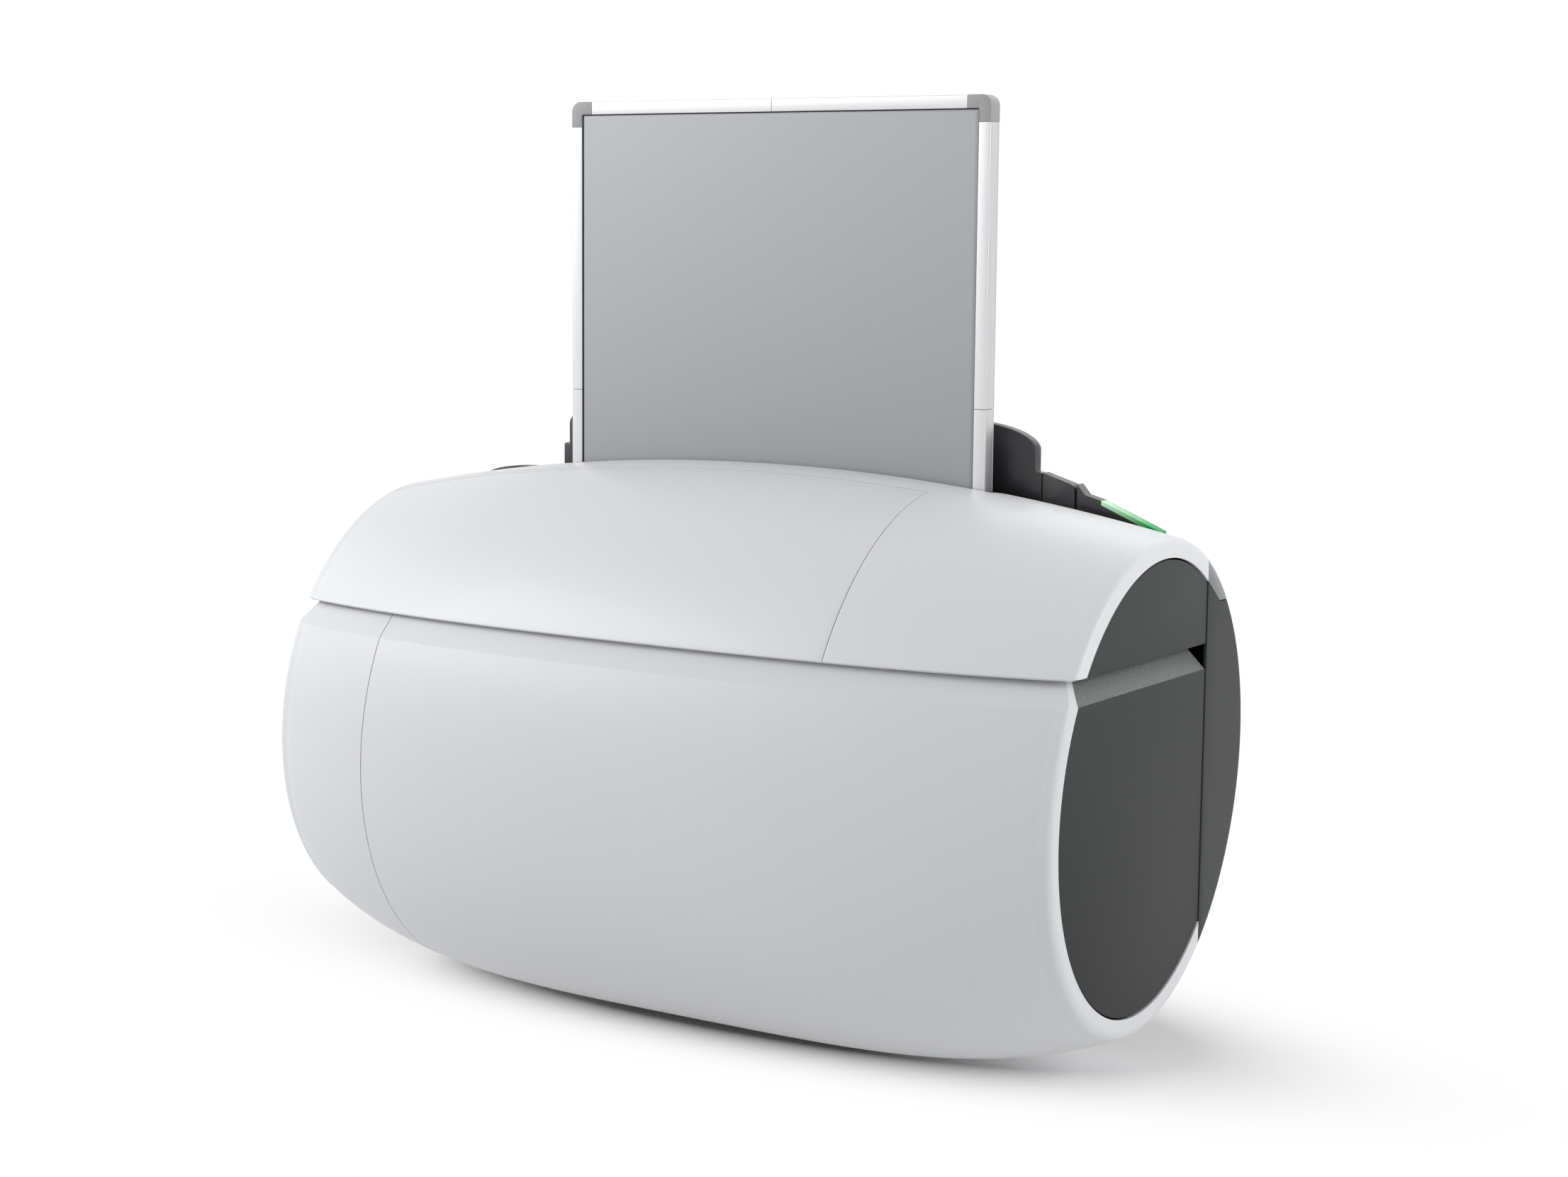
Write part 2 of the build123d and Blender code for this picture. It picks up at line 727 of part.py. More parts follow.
# The left plate also has a folded shelf for the power supply
with BuildPart() as chassis_left:
    block(-chassis_x - sheet, -chassis_x, -chassis_reach_y, chassis_reach_y, chassis_low_z, chassis_high_z)
    block(-shelf_reach_x, -chassis_x - sheet / 2, -shelf_half_depth, shelf_half_depth, shelf_z - sheet, shelf_z)
    add(interior.part, mode=Mode.INTERSECT)
    for roller_y in (drive_y, pinch_y):
        for roller_z in (upper_roller_z, lower_roller_z):
            rod(-chassis_x - 2 * overrun, overrun - chassis_x, roller_y, roller_z, bush_radius, mode=Mode.SUBTRACT)
    rod(-chassis_x - 2 * overrun, overrun - chassis_x, bend_y, guide_bend_z, chassis_window_radius,
        mode=Mode.SUBTRACT)
chassis_left.part.label = "chassis_left"
export_step(chassis_left.part, "parts/chassis_left.step")

# Rods that tie the side plates together
with BuildPart() as cross_rods:
    for rod_y, rod_z in ((front_rod_y, front_rod_z), (upper_rod_y, upper_rod_z), (rear_rod_y, rear_rod_z)):
        rod(-chassis_x, chassis_x, rod_y, rod_z, rod_radius)
cross_rods.part.label = "cross_rods"
export_step(cross_rods.part, "parts/cross_rods.step")

# Cassette guide: a wide channel with a full back, front lips at both edges and ledges below the cassette
with BuildPart() as cassette_guide:
    block(-chassis_x, chassis_x, slot_front_y - guide_wall, slot_back_y + guide_wall, guide_low_z,
          chassis_high_z + chassis_low_z)
    add(interior.part, mode=Mode.INTERSECT)
    block(-cassette_half - guide_fit, cassette_half + guide_fit, cassette_front_y - guide_fit,
          cassette_back_y + guide_fit, cassette_bottom_z - seat_gap, reach, mode=Mode.SUBTRACT)
    block(guide_lip - cassette_half, cassette_half - guide_lip, -reach, cassette_front_y,
          guide_low_z - overrun, reach, mode=Mode.SUBTRACT)
    block(-plate_width / 2 - plate_side_gap, plate_width / 2 + plate_side_gap, -reach, reach,
          guide_low_z - overrun, cassette_bottom_z + guide_wall, mode=Mode.SUBTRACT)
    with Locations((latch_x, cassette_back_y + guide_wall, latch_z)):
        Cylinder(latch_pin_radius + running_fit, 4 * guide_wall, rotation=(90, 0, 0), mode=Mode.SUBTRACT)
cassette_guide.part.label = "cassette_guide"
export_step(cassette_guide.part, "parts/cassette_guide.step")

# Latch: a solenoid behind the guide pushes a pin into a hole in the cassette's back
solenoid_front_y = slot_back_y + guide_wall
with BuildPart() as latch_solenoid:
    block(latch_x - solenoid_size / 2, latch_x + solenoid_size / 2, solenoid_front_y,
          solenoid_front_y + solenoid_length, latch_z - solenoid_size / 2, latch_z + solenoid_size / 2)
    with Locations((latch_x, solenoid_front_y, latch_z)):
        Cylinder(latch_pin_radius + running_fit, 2 * latch_pin_length, rotation=(90, 0, 0), mode=Mode.SUBTRACT)
latch_solenoid.part.label = "latch_solenoid"
export_step(latch_solenoid.part, "parts/latch_solenoid.step")

with BuildPart() as latch_pin:
    with Locations((latch_x, cassette_back_y + slot_gap + latch_pin_length / 2, latch_z)):
        Cylinder(latch_pin_radius, latch_pin_length, rotation=(90, 0, 0))
    chamfer(latch_pin.edges().group_by(Axis.Y)[0], latch_pin_radius / 4)
latch_pin.part.label = "latch_pin"
export_step(latch_pin.part, "parts/latch_pin.step")

# Drive rollers: a rubber sleeve on a steel shaft, which carries a belt pulley outside the right plate
bush_inner_x = chassis_x + sheet / 2 - bush_length / 2
bush_outer_x = bush_inner_x + bush_length
belt_mid_x = pulley_start_x + pulley_width / 2


def add_pulley(y, z, radius):
    """Belt pulley with a flange at each side."""
    rod(pulley_start_x, pulley_start_x + pulley_width, y, z, radius)
    rod(pulley_start_x, pulley_start_x + pulley_flange_width, y, z, radius + pulley_flange)
    rod(pulley_start_x + pulley_width - pulley_flange_width, pulley_start_x + pulley_width, y, z,
        radius + pulley_flange)


def drive_shaft(z):
    """Shaft of a drive roller, through both bushes, with its pulley at the right end."""
    with BuildPart() as shaft:
        rod(-bush_outer_x, pulley_start_x + pulley_width, drive_y, z, shaft_radius)
        add_pulley(drive_y, z, pulley_radius)
    return shaft.part


def drive_sleeve(z):
    """Rubber sleeve of a drive roller."""
    with BuildPart() as sleeve:
        rod(-roller_half_length, roller_half_length, drive_y, z, drive_radius)
        rod(-reach, reach, drive_y, z, shaft_radius, mode=Mode.SUBTRACT)
    return sleeve.part


with BuildPart() as upper_drive_shaft:
    add(drive_shaft(upper_roller_z))
upper_drive_shaft.part.label = "upper_drive_shaft"
export_step(upper_drive_shaft.part, "parts/upper_drive_shaft.step")

with BuildPart() as upper_drive_sleeve:
    add(drive_sleeve(upper_roller_z))
upper_drive_sleeve.part.label = "upper_drive_sleeve"
export_step(upper_drive_sleeve.part, "parts/upper_drive_sleeve.step")

with BuildPart() as lower_drive_shaft:
    add(drive_shaft(lower_roller_z))
lower_drive_shaft.part.label = "lower_drive_shaft"
export_step(lower_drive_shaft.part, "parts/lower_drive_shaft.step")

with BuildPart() as lower_drive_sleeve:
    add(drive_sleeve(lower_roller_z))
lower_drive_sleeve.part.label = "lower_drive_sleeve"
export_step(lower_drive_sleeve.part, "parts/lower_drive_sleeve.step")


# Pinch rollers press the plate against the drive rollers
def pinch_roller(z):
    """Steel pinch roller with its journals in the bushes."""
    with BuildPart() as roller:
        rod(-roller_half_length, roller_half_length, pinch_y, z, pinch_radius)
        rod(-bush_outer_x, bush_outer_x, pinch_y, z, shaft_radius)
    return roller.part


with BuildPart() as upper_pinch_roller:
    add(pinch_roller(upper_roller_z))
upper_pinch_roller.part.label = "upper_pinch_roller"
export_step(upper_pinch_roller.part, "parts/upper_pinch_roller.step")

with BuildPart() as lower_pinch_roller:
    add(pinch_roller(lower_roller_z))
lower_pinch_roller.part.label = "lower_pinch_roller"
export_step(lower_pinch_roller.part, "parts/lower_pinch_roller.step")

# Plain bushes in the side plates
with BuildPart() as roller_bushes:
    for bush_x in (-bush_outer_x, bush_inner_x):
        for roller_y in (drive_y, pinch_y):
            for roller_z in (upper_roller_z, lower_roller_z):
                rod(bush_x, bush_x + bush_length, roller_y, roller_z, bush_radius)
    for roller_y in (drive_y, pinch_y):
        for roller_z in (upper_roller_z, lower_roller_z):
            rod(-reach, reach, roller_y, roller_z, shaft_radius + running_fit, mode=Mode.SUBTRACT)
roller_bushes.part.label = "roller_bushes"
export_step(roller_bushes.part, "parts/roller_bushes.step")

# Stepping motor inside the right plate, with its pulley and belt outside
with BuildPart() as feed_motor:
    block(chassis_x - motor_length, chassis_x, motor_y - motor_size / 2, motor_y + motor_size / 2,
          motor_z - motor_size / 2, motor_z + motor_size / 2)
    chamfer(feed_motor.edges().filter_by(Axis.X), motor_size / 10)
    rod(chassis_x, chassis_x + sheet, motor_y, motor_z, motor_boss_radius)
    rod(chassis_x - motor_bore_depth, chassis_x + 2 * sheet, motor_y, motor_z, motor_shaft_radius + running_fit,
        mode=Mode.SUBTRACT)
feed_motor.part.label = "feed_motor"
export_step(feed_motor.part, "parts/feed_motor.step")

with BuildPart() as motor_pulley:
    add_pulley(motor_y, motor_z, motor_pulley_radius)
    rod(chassis_x - motor_bore_depth + running_fit, pulley_start_x + pulley_width, motor_y, motor_z,
        motor_shaft_radius)
motor_pulley.part.label = "motor_pulley"
export_step(motor_pulley.part, "parts/motor_pulley.step")

belt_half_width = pulley_width / 2 - pulley_flange_width - seat_gap
with BuildPart() as timing_belt:
    with BuildSketch(Plane.YZ.offset(belt_mid_x - belt_half_width)) as belt_outline:
        for pulley_y, pulley_z, radius in ((motor_y, motor_z, motor_pulley_radius),
                                           (drive_y, upper_roller_z, pulley_radius),
                                           (drive_y, lower_roller_z, pulley_radius)):
            with Locations((pulley_y, pulley_z)):
                Circle(radius + seat_gap + belt_thickness)
        make_hull()
    extrude(amount=2 * belt_half_width)
    with BuildSketch(Plane.YZ.offset(belt_mid_x - belt_half_width)) as belt_inside:
        for pulley_y, pulley_z, radius in ((motor_y, motor_z, motor_pulley_radius),
                                           (drive_y, upper_roller_z, pulley_radius),
                                           (drive_y, lower_roller_z, pulley_radius)):
            with Locations((pulley_y, pulley_z)):
                Circle(radius + seat_gap)
        make_hull()
    extrude(amount=2 * belt_half_width, mode=Mode.SUBTRACT)
timing_belt.part.label = "timing_belt"
export_step(timing_belt.part, "parts/timing_belt.step")


# Sheet guides that turn the plate under the optics and up the front
def guide_channel(radius, thickness, rear_top, front_top):
    """Bent sheet guide: straight sides above a half turn, of the given inner radius."""
    with BuildPart() as guide:
        with BuildSketch(Plane.YZ.offset(-chassis_x)):
            for grow, mode in ((thickness, Mode.ADD), (0, Mode.SUBTRACT)):
                with Locations((bend_y, guide_bend_z)):
                    Circle(radius + grow, mode=mode)
                    Rectangle(2 * (radius + grow), reach, align=(Align.CENTER, Align.MIN), mode=mode)
            with Locations((bend_y, rear_top)):
                Rectangle(reach, reach, align=(Align.MIN, Align.MIN), mode=Mode.SUBTRACT)
            with Locations((bend_y, front_top)):
                Rectangle(reach, reach, align=(Align.MAX, Align.MIN), mode=Mode.SUBTRACT)
        extrude(amount=2 * chassis_x)
    return guide.part


with BuildPart() as plate_guide_outer:
    add(guide_channel(guide_bend_radius + guide_gap, guide_sheet, outer_guide_top_z, guide_front_top_z))
plate_guide_outer.part.label = "plate_guide_outer"
export_step(plate_guide_outer.part, "parts/plate_guide_outer.step")

with BuildPart() as plate_guide_inner:
    add(guide_channel(guide_bend_radius - guide_gap - guide_sheet, guide_sheet, inner_guide_top_z,
                      guide_front_top_z))
plate_guide_inner.part.label = "plate_guide_inner"
export_step(plate_guide_inner.part, "parts/plate_guide_inner.step")

# Flat bar that holds the plate steady at the scan line
with BuildPart() as scan_platen:
    platen_face_y = cassette_mid_y - plate_thickness / 2 - platen_gap
    with BuildSketch(Plane.YZ.offset(-chassis_x)):
        with BuildLine():
            Polyline((platen_face_y, scan_z - platen_half_height + platen_lip),
                     (platen_face_y, scan_z + platen_half_height - platen_lip),
                     (platen_face_y - platen_lip, scan_z + platen_half_height),
                     (platen_face_y - platen_depth, scan_z + platen_half_height),
                     (platen_face_y - platen_depth, scan_z - platen_half_height),
                     (platen_face_y - platen_lip, scan_z - platen_half_height), close=True)
        make_face()
    extrude(amount=2 * chassis_x)
scan_platen.part.label = "scan_platen"
export_step(scan_platen.part, "parts/scan_platen.step")

# Optics shelf and the open tray on it
with BuildPart() as optics_shelf:
    block(-chassis_x, chassis_x, optics_front_y - 2 * sheet, optics_back_y + sheet, optics_low_z - sheet,
          optics_low_z)
    add(interior.part, mode=Mode.INTERSECT)
optics_shelf.part.label = "optics_shelf"
export_step(optics_shelf.part, "parts/optics_shelf.step")

optics_floor_z = optics_low_z + optics_wall
with BuildPart() as optics_housing:
    block(-optics_half_width, optics_half_width, optics_front_y, optics_back_y, optics_low_z, optics_high_z)
    block(optics_wall - optics_half_width, optics_half_width - optics_wall, optics_front_y + optics_wall,
          optics_back_y - optics_wall, optics_floor_z, optics_high_z + overrun, mode=Mode.SUBTRACT)
    block(-beam_slot_half_width, beam_slot_half_width, optics_front_y - overrun,
          optics_front_y + 2 * optics_wall, scan_z - beam_slot_half_height, scan_z + beam_slot_half_height,
          mode=Mode.SUBTRACT)
optics_housing.part.label = "optics_housing"
export_step(optics_housing.part, "parts/optics_housing.step")

with BuildPart() as scan_lens:
    with BuildSketch(Plane.XY.offset(optics_floor_z)):
        with BuildLine():
            ThreePointArc((-scan_lens_half_width, scan_lens_y), (0, scan_lens_y - scan_lens_bulge),
                          (scan_lens_half_width, scan_lens_y))
            Polyline((scan_lens_half_width, scan_lens_y), (scan_lens_half_width, scan_lens_y + scan_lens_depth),
                     (-scan_lens_half_width, scan_lens_y + scan_lens_depth), (-scan_lens_half_width, scan_lens_y))
        make_face()
    extrude(amount=scan_lens_height)
scan_lens.part.label = "scan_lens"
export_step(scan_lens.part, "parts/scan_lens.step")

with BuildPart() as laser_module:
    rod(laser_x, laser_x + laser_length, mirror_y, scan_z, laser_radius)
    block(laser_x, laser_x + laser_length, mirror_y - laser_base / 2, mirror_y + laser_base / 2,
          optics_floor_z, scan_z)
laser_module.part.label = "laser_module"
export_step(laser_module.part, "parts/laser_module.step")

mirror_low_z = scan_z - mirror_height / 2
with BuildPart() as mirror_motor:
    with Locations((0, mirror_y, optics_floor_z)):
        Cylinder(mirror_motor_radius, mirror_motor_height, align=(Align.CENTER, Align.CENTER, Align.MIN))
    with Locations((0, mirror_y, optics_floor_z + mirror_motor_height)):
        Cylinder(mirror_shaft_radius + running_fit, 2 * mirror_shaft_depth, mode=Mode.SUBTRACT)
mirror_motor.part.label = "mirror_motor"
export_step(mirror_motor.part, "parts/mirror_motor.step")

with BuildPart() as polygon_mirror:
    with BuildSketch(Plane.XY.offset(mirror_low_z)):
        with Locations((0, mirror_y)):
            RegularPolygon(mirror_radius, mirror_sides)
    extrude(amount=mirror_height)
    shaft_low_z = optics_floor_z + mirror_motor_height - mirror_shaft_depth + seat_gap
    with Locations((0, mirror_y, shaft_low_z)):
        Cylinder(mirror_shaft_radius, mirror_low_z - shaft_low_z, align=(Align.CENTER, Align.CENTER, Align.MIN))
polygon_mirror.part.label = "polygon_mirror"
export_step(polygon_mirror.part, "parts/polygon_mirror.step")

# Light collector: a clear bar from the scan line up to the light detectors on it
with BuildPart() as light_collector:
    collector_face_y = cassette_mid_y + pinch_radius / 2
    with BuildSketch(Plane.YZ.offset(-chassis_x)):
        with BuildLine():
            Polyline((collector_face_y, collector_low_z), (collector_face_y, collector_low_z + collector_lip),
                     (collector_bend_y, collector_high_z), (collector_back_y, collector_high_z),
                     (collector_back_y, collector_high_z - collector_thickness),
                     (collector_bend_y + collector_lip, collector_high_z - collector_thickness), close=True)
        make_face()
    extrude(amount=2 * chassis_x)
light_collector.part.label = "light_collector"
export_step(light_collector.part, "parts/light_collector.step")

with BuildPart() as light_detectors:
    for side in (-1, 1):
        block(side * pmt_x - pmt_width / 2, side * pmt_x + pmt_width / 2, collector_bend_y,
              collector_bend_y + pmt_depth, collector_high_z, collector_high_z + pmt_height)
    chamfer(light_detectors.edges().filter_by(Axis.Z), optics_wall / 2)
light_detectors.part.label = "light_detectors"
export_step(light_detectors.part, "parts/light_detectors.step")

# Erase lamp: a light bar with a groove that faces the plate
with BuildPart() as erase_lamp:
    lamp_front_y = cassette_mid_y + lamp_gap
    block(-chassis_x, chassis_x, lamp_front_y, lamp_front_y + lamp_depth, lamp_low_z, lamp_low_z + lamp_height)
    block(-reach, reach, lamp_front_y - overrun, lamp_front_y + lamp_groove, lamp_low_z + lamp_groove,
          lamp_low_z + lamp_height - lamp_groove, mode=Mode.SUBTRACT)
erase_lamp.part.label = "erase_lamp"
export_step(erase_lamp.part, "parts/erase_lamp.step")

# Main board on four posts off the left side plate
board_mid_y = (board_y_low + board_y_high) / 2
board_mid_z = (board_z_low + board_z_high) / 2
with BuildPart() as main_board:
    block(board_x, board_x + board_thickness, board_y_low, board_y_high, board_z_low, board_z_high)
    for post_y in (board_y_low + board_edge, board_y_high - board_edge):
        for post_z in (board_z_low + board_edge, board_z_high - board_edge):
            rod(board_x + board_thickness, -chassis_x - sheet, post_y, post_z, board_post_radius)
    for chip_y, chip_z in ((board_mid_y, board_mid_z), (board_mid_y + 2 * board_chip, board_mid_z - board_chip),
                           (board_mid_y - 3 * board_chip / 2, board_mid_z + board_chip)):
        block(board_x - board_chip_height, board_x, chip_y - board_chip / 2, chip_y + board_chip / 2,
              chip_z - board_chip / 2, chip_z + board_chip / 2)
main_board.part.label = "main_board"
export_step(main_board.part, "parts/main_board.step")

with BuildPart() as power_supply:
    block(supply_left_x, supply_right_x, -supply_half_depth, supply_half_depth, shelf_z, shelf_z + supply_height)
    chamfer(power_supply.edges().filter_by(Axis.Z), sheet / 2)
power_supply.part.label = "power_supply"
export_step(power_supply.part, "parts/power_supply.step")

# Connector recess: an open tray let into the rear housing, cut flush with it
with BuildPart() as connector_tray:
    block(tray_left_x, tray_right_x, tray_floor_y - tray_wall, reach, tray_low_z, tray_high_z)
    block(tray_left_x + tray_wall, tray_right_x - tray_wall, tray_floor_y, 2 * reach, tray_low_z + tray_wall,
          tray_high_z - tray_wall, mode=Mode.SUBTRACT)
    add(outer_volume, mode=Mode.INTERSECT)
    module_mid_x = (inlet_x + rocker_x) / 2
    block(module_mid_x - module_width / 2 + tray_wall, module_mid_x + module_width / 2 - tray_wall,
          tray_floor_y - module_depth, tray_floor_y + overrun, connector_z - module_height / 2,
          connector_z + module_height / 2, mode=Mode.SUBTRACT)
    block(port_x - port_width / 2, port_x + port_width / 2, tray_floor_y - module_depth, tray_floor_y + overrun,
          connector_z - port_height / 2, connector_z + port_height / 2, mode=Mode.SUBTRACT)
connector_tray.part.label = "connector_tray"
export_step(connector_tray.part, "parts/connector_tray.step")

# Power module: mains inlet and switch frame in one
pivot_y = tray_floor_y + module_lip - rocker_pivot_depth
with BuildPart() as power_module:
    block(module_mid_x - module_width / 2, module_mid_x + module_width / 2, tray_floor_y,
          tray_floor_y + module_lip, connector_z - module_height / 2 - module_lip,
          connector_z + module_height / 2 + module_lip)
    block(module_mid_x - module_width / 2 + tray_wall, module_mid_x + module_width / 2 - tray_wall,
          tray_floor_y + module_lip - module_depth, tray_floor_y, connector_z - module_height / 2,
          connector_z + module_height / 2)
    block(inlet_x - inlet_width / 2, inlet_x + inlet_width / 2, tray_floor_y + module_lip - inlet_depth,
          tray_floor_y + overrun, connector_z - inlet_height / 2, connector_z + inlet_height / 2,
          mode=Mode.SUBTRACT)
    for pin_steps, pin_lift in ((-1, -1), (0, 1), (1, -1)):
        pin_x = inlet_x + pin_steps * inlet_pin_pitch
        pin_z = connector_z + pin_lift * inlet_pin_height / 2
        block(pin_x - inlet_pin_width / 2, pin_x + inlet_pin_width / 2, tray_floor_y + module_lip - inlet_depth,
              tray_floor_y + module_lip - inlet_depth + inlet_pin_length, pin_z - inlet_pin_height / 2,
              pin_z + inlet_pin_height / 2)
    block(rocker_x - rocker_width / 2 - rocker_play, rocker_x + rocker_width / 2 + rocker_play,
          tray_floor_y + module_lip - rocker_pocket_depth, tray_floor_y + overrun,
          connector_z - rocker_pocket_height / 2, connector_z + rocker_pocket_height / 2, mode=Mode.SUBTRACT)
    rod(rocker_x - rocker_width / 2 - rocker_pivot_radius, rocker_x + rocker_width / 2 + rocker_pivot_radius,
        pivot_y, connector_z, rocker_pivot_radius + running_fit, mode=Mode.SUBTRACT)
power_module.part.label = "power_module"
export_step(power_module.part, "parts/power_module.step")

# Rocker, pressed at its top, with its pivot pins
with BuildPart() as power_rocker:
    with BuildSketch(Plane.YZ.offset(rocker_x - rocker_width / 2)):
        with Locations((pivot_y, connector_z)):
            Polygon((rocker_rise, rocker_half_height), (rocker_rise - rocker_dip, 0),
                    (rocker_rise, -rocker_half_height), (0, -rocker_half_height),
                    (-rocker_pivot_radius - rocker_dip, 0), (0, rocker_half_height),
                    rotation=-rocker_tilt, align=None)
    extrude(amount=rocker_width)
    rod(rocker_x - rocker_width / 2 - rocker_pivot_radius + running_fit,
        rocker_x + rocker_width / 2 + rocker_pivot_radius - running_fit, pivot_y, connector_z,
        rocker_pivot_radius)
power_rocker.part.label = "power_rocker"
export_step(power_rocker.part, "parts/power_rocker.step")

with BuildPart() as data_port:
    block(port_x - port_width / 2, port_x + port_width / 2, tray_floor_y + module_lip - port_depth,
          tray_floor_y + module_lip, connector_z - port_height / 2, connector_z + port_height / 2)
    block(port_x - port_mouth_width / 2, port_x + port_mouth_width / 2,
          tray_floor_y + module_lip - port_mouth_depth, tray_floor_y + overrun,
          connector_z - port_mouth_height / 2, connector_z + port_mouth_height / 2, mode=Mode.SUBTRACT)
data_port.part.label = "data_port"
export_step(data_port.part, "parts/data_port.step")

# Screws in the corners of the tray's floor
with BuildPart() as tray_screws:
    for screw_x in (tray_left_x + tray_screw_inset, tray_right_x - tray_screw_inset):
        for screw_z in (tray_low_z + tray_screw_inset, tray_high_z - tray_screw_inset):
            with Locations((screw_x, tray_floor_y + tray_screw_height / 2, screw_z)):
                Cylinder(tray_screw_radius, tray_screw_height, rotation=(90, 0, 0))
    fillet(tray_screws.edges().group_by(Axis.Y)[-1], tray_screw_height / 3)
tray_screws.part.label = "tray_screws"
export_step(tray_screws.part, "parts/tray_screws.step")

# Cooling fan: its frame with struts at the back, and its rotor
fan_front_y = fan_back_y - fan_depth
with BuildPart() as fan_frame:
    block(fan_x - fan_size / 2, fan_x + fan_size / 2, fan_front_y, fan_back_y, fan_z - fan_size / 2,
          fan_z + fan_size / 2)
    fillet(fan_frame.edges().filter_by(Axis.Y), fan_strut)
    with Locations((fan_x, fan_back_y - fan_depth / 2, fan_z)):
        Cylinder(fan_bore_radius, 2 * fan_depth, rotation=(90, 0, 0), mode=Mode.SUBTRACT)
    with Locations((fan_x, fan_back_y - fan_strut_depth / 2, fan_z)):
        Cylinder(fan_hub_radius, fan_strut_depth, rotation=(90, 0, 0))
        with PolarLocations(0, 2):
            Box(2 * fan_bore_radius + fan_strut, fan_strut_depth, fan_strut)
            Box(fan_strut, fan_strut_depth, 2 * fan_bore_radius + fan_strut)
        Cylinder(fan_shaft_radius + running_fit, 2 * fan_depth, rotation=(90, 0, 0), mode=Mode.SUBTRACT)
fan_frame.part.label = "fan_frame"
export_step(fan_frame.part, "parts/fan_frame.step")

rotor_low_y = fan_front_y + fan_tip_gap
rotor_high_y = fan_back_y - fan_strut_depth - fan_tip_gap
with BuildPart() as fan_rotor:
    with Locations((fan_x, (rotor_low_y + rotor_high_y) / 2, fan_z)):
        Cylinder(fan_hub_radius, rotor_high_y - rotor_low_y, rotation=(90, 0, 0))
        for blade in range(fan_blades):
            with Locations(Location((0, 0, 0), (0, blade * 360 / fan_blades, 0))):
                with Locations(Location(((fan_bore_radius + fan_hub_radius - fan_strut) / 2, 0, 0),
                                        (fan_blade_pitch, 0, 0))):
                    Box(fan_bore_radius - fan_hub_radius - fan_tip_gap - fan_strut / 2,
                        fan_blade_thickness, rotor_high_y - rotor_low_y)
    with Locations((fan_x, rotor_high_y, fan_z)):
        Cylinder(fan_shaft_radius, 2 * fan_strut_depth, rotation=(90, 0, 0))
fan_rotor.part.label = "fan_rotor"
export_step(fan_rotor.part, "parts/fan_rotor.step")


# Cassette
def corner_places(size):
    """Middle of each corner square of the cassette, with the given side."""
    for side_x in (-1, 1):
        for corner_z in (cassette_bottom_z + size / 2, cassette_top_z - size / 2):
            yield (side_x * (cassette_half - size / 2), cassette_mid_y, corner_z)


cassette_mid_z = cassette_bottom_z + cassette_height / 2
with BuildPart() as cassette_frame:
    with Locations((0, cassette_mid_y, cassette_mid_z)):
        Box(cassette_width, cassette_depth, cassette_height)
    fillet(cassette_frame.edges().filter_by(Axis.Y), cassette_corner_radius)
    with Locations((0, cassette_mid_y, cassette_mid_z)):
        Box(cassette_width - 2 * rail_width, 2 * cassette_depth, cassette_height - 2 * rail_width,
            mode=Mode.SUBTRACT)
    with Locations((0, cassette_mid_y, cassette_bottom_z)):
        Box(plate_width + 2 * plate_side_gap, cassette_depth / 3, 4 * rail_width, mode=Mode.SUBTRACT)

# Aluminium rails, between the corners
with BuildPart() as cassette_rails:
    add(cassette_frame.part)
    with Locations(*corner_places(cap_arm)):
        Box(cap_arm, 2 * cassette_depth, cap_arm, mode=Mode.SUBTRACT)
cassette_rails.part.label = "cassette_rails"
export_step(cassette_rails.part, "parts/cassette_rails.step")

# Moulded corners
with BuildPart() as cassette_corners:
    with Locations(*corner_places(cap_arm)):
        Box(cap_arm, 2 * cassette_depth, cap_arm)
    add(cassette_frame.part, mode=Mode.INTERSECT)
cassette_corners.part.label = "cassette_corners"
export_step(cassette_corners.part, "parts/cassette_corners.step")

# Front and back panels, set into the rails
panel_width = cassette_width - 2 * rail_width - 2 * panel_gap
panel_height = cassette_height - 2 * rail_width - 2 * panel_gap
with BuildPart() as cassette_front_panel:
    with Locations((0, cassette_front_y + panel_setback + panel_thickness / 2, cassette_mid_z)):
        Box(panel_width, panel_thickness, panel_height)
    panel_front = cassette_front_panel.faces().sort_by(Axis.Y)[0]
    chamfer(panel_front.edges(), panel_bevel, panel_bevel_drop, reference=panel_front)
cassette_front_panel.part.label = "cassette_front_panel"
export_step(cassette_front_panel.part, "parts/cassette_front_panel.step")

with BuildPart() as cassette_back_panel:
    with Locations((0, cassette_back_y - panel_setback - panel_thickness / 2, cassette_mid_z)):
        Box(panel_width, panel_thickness, panel_height)
    with Locations((latch_x, cassette_back_y, latch_z)):
        Cylinder(latch_pin_radius + latch_hole_gap, 4 * panel_thickness, rotation=(90, 0, 0), mode=Mode.SUBTRACT)
cassette_back_panel.part.label = "cassette_back_panel"
export_step(cassette_back_panel.part, "parts/cassette_back_panel.step")

# Phosphor plate, inside the cassette
with BuildPart() as phosphor_plate:
    with Locations((0, cassette_mid_y, cassette_mid_z)):
        Box(plate_width, plate_thickness, plate_length)
    fillet(phosphor_plate.edges().filter_by(Axis.Y), rail_width / 2)
phosphor_plate.part.label = "phosphor_plate"
export_step(phosphor_plate.part, "parts/phosphor_plate.step")
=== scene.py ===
"""Phosphor plate scanner: looks, stage and camera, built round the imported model."""

import json
import math

import bmesh
import bpy
from mathutils import Matrix, Vector


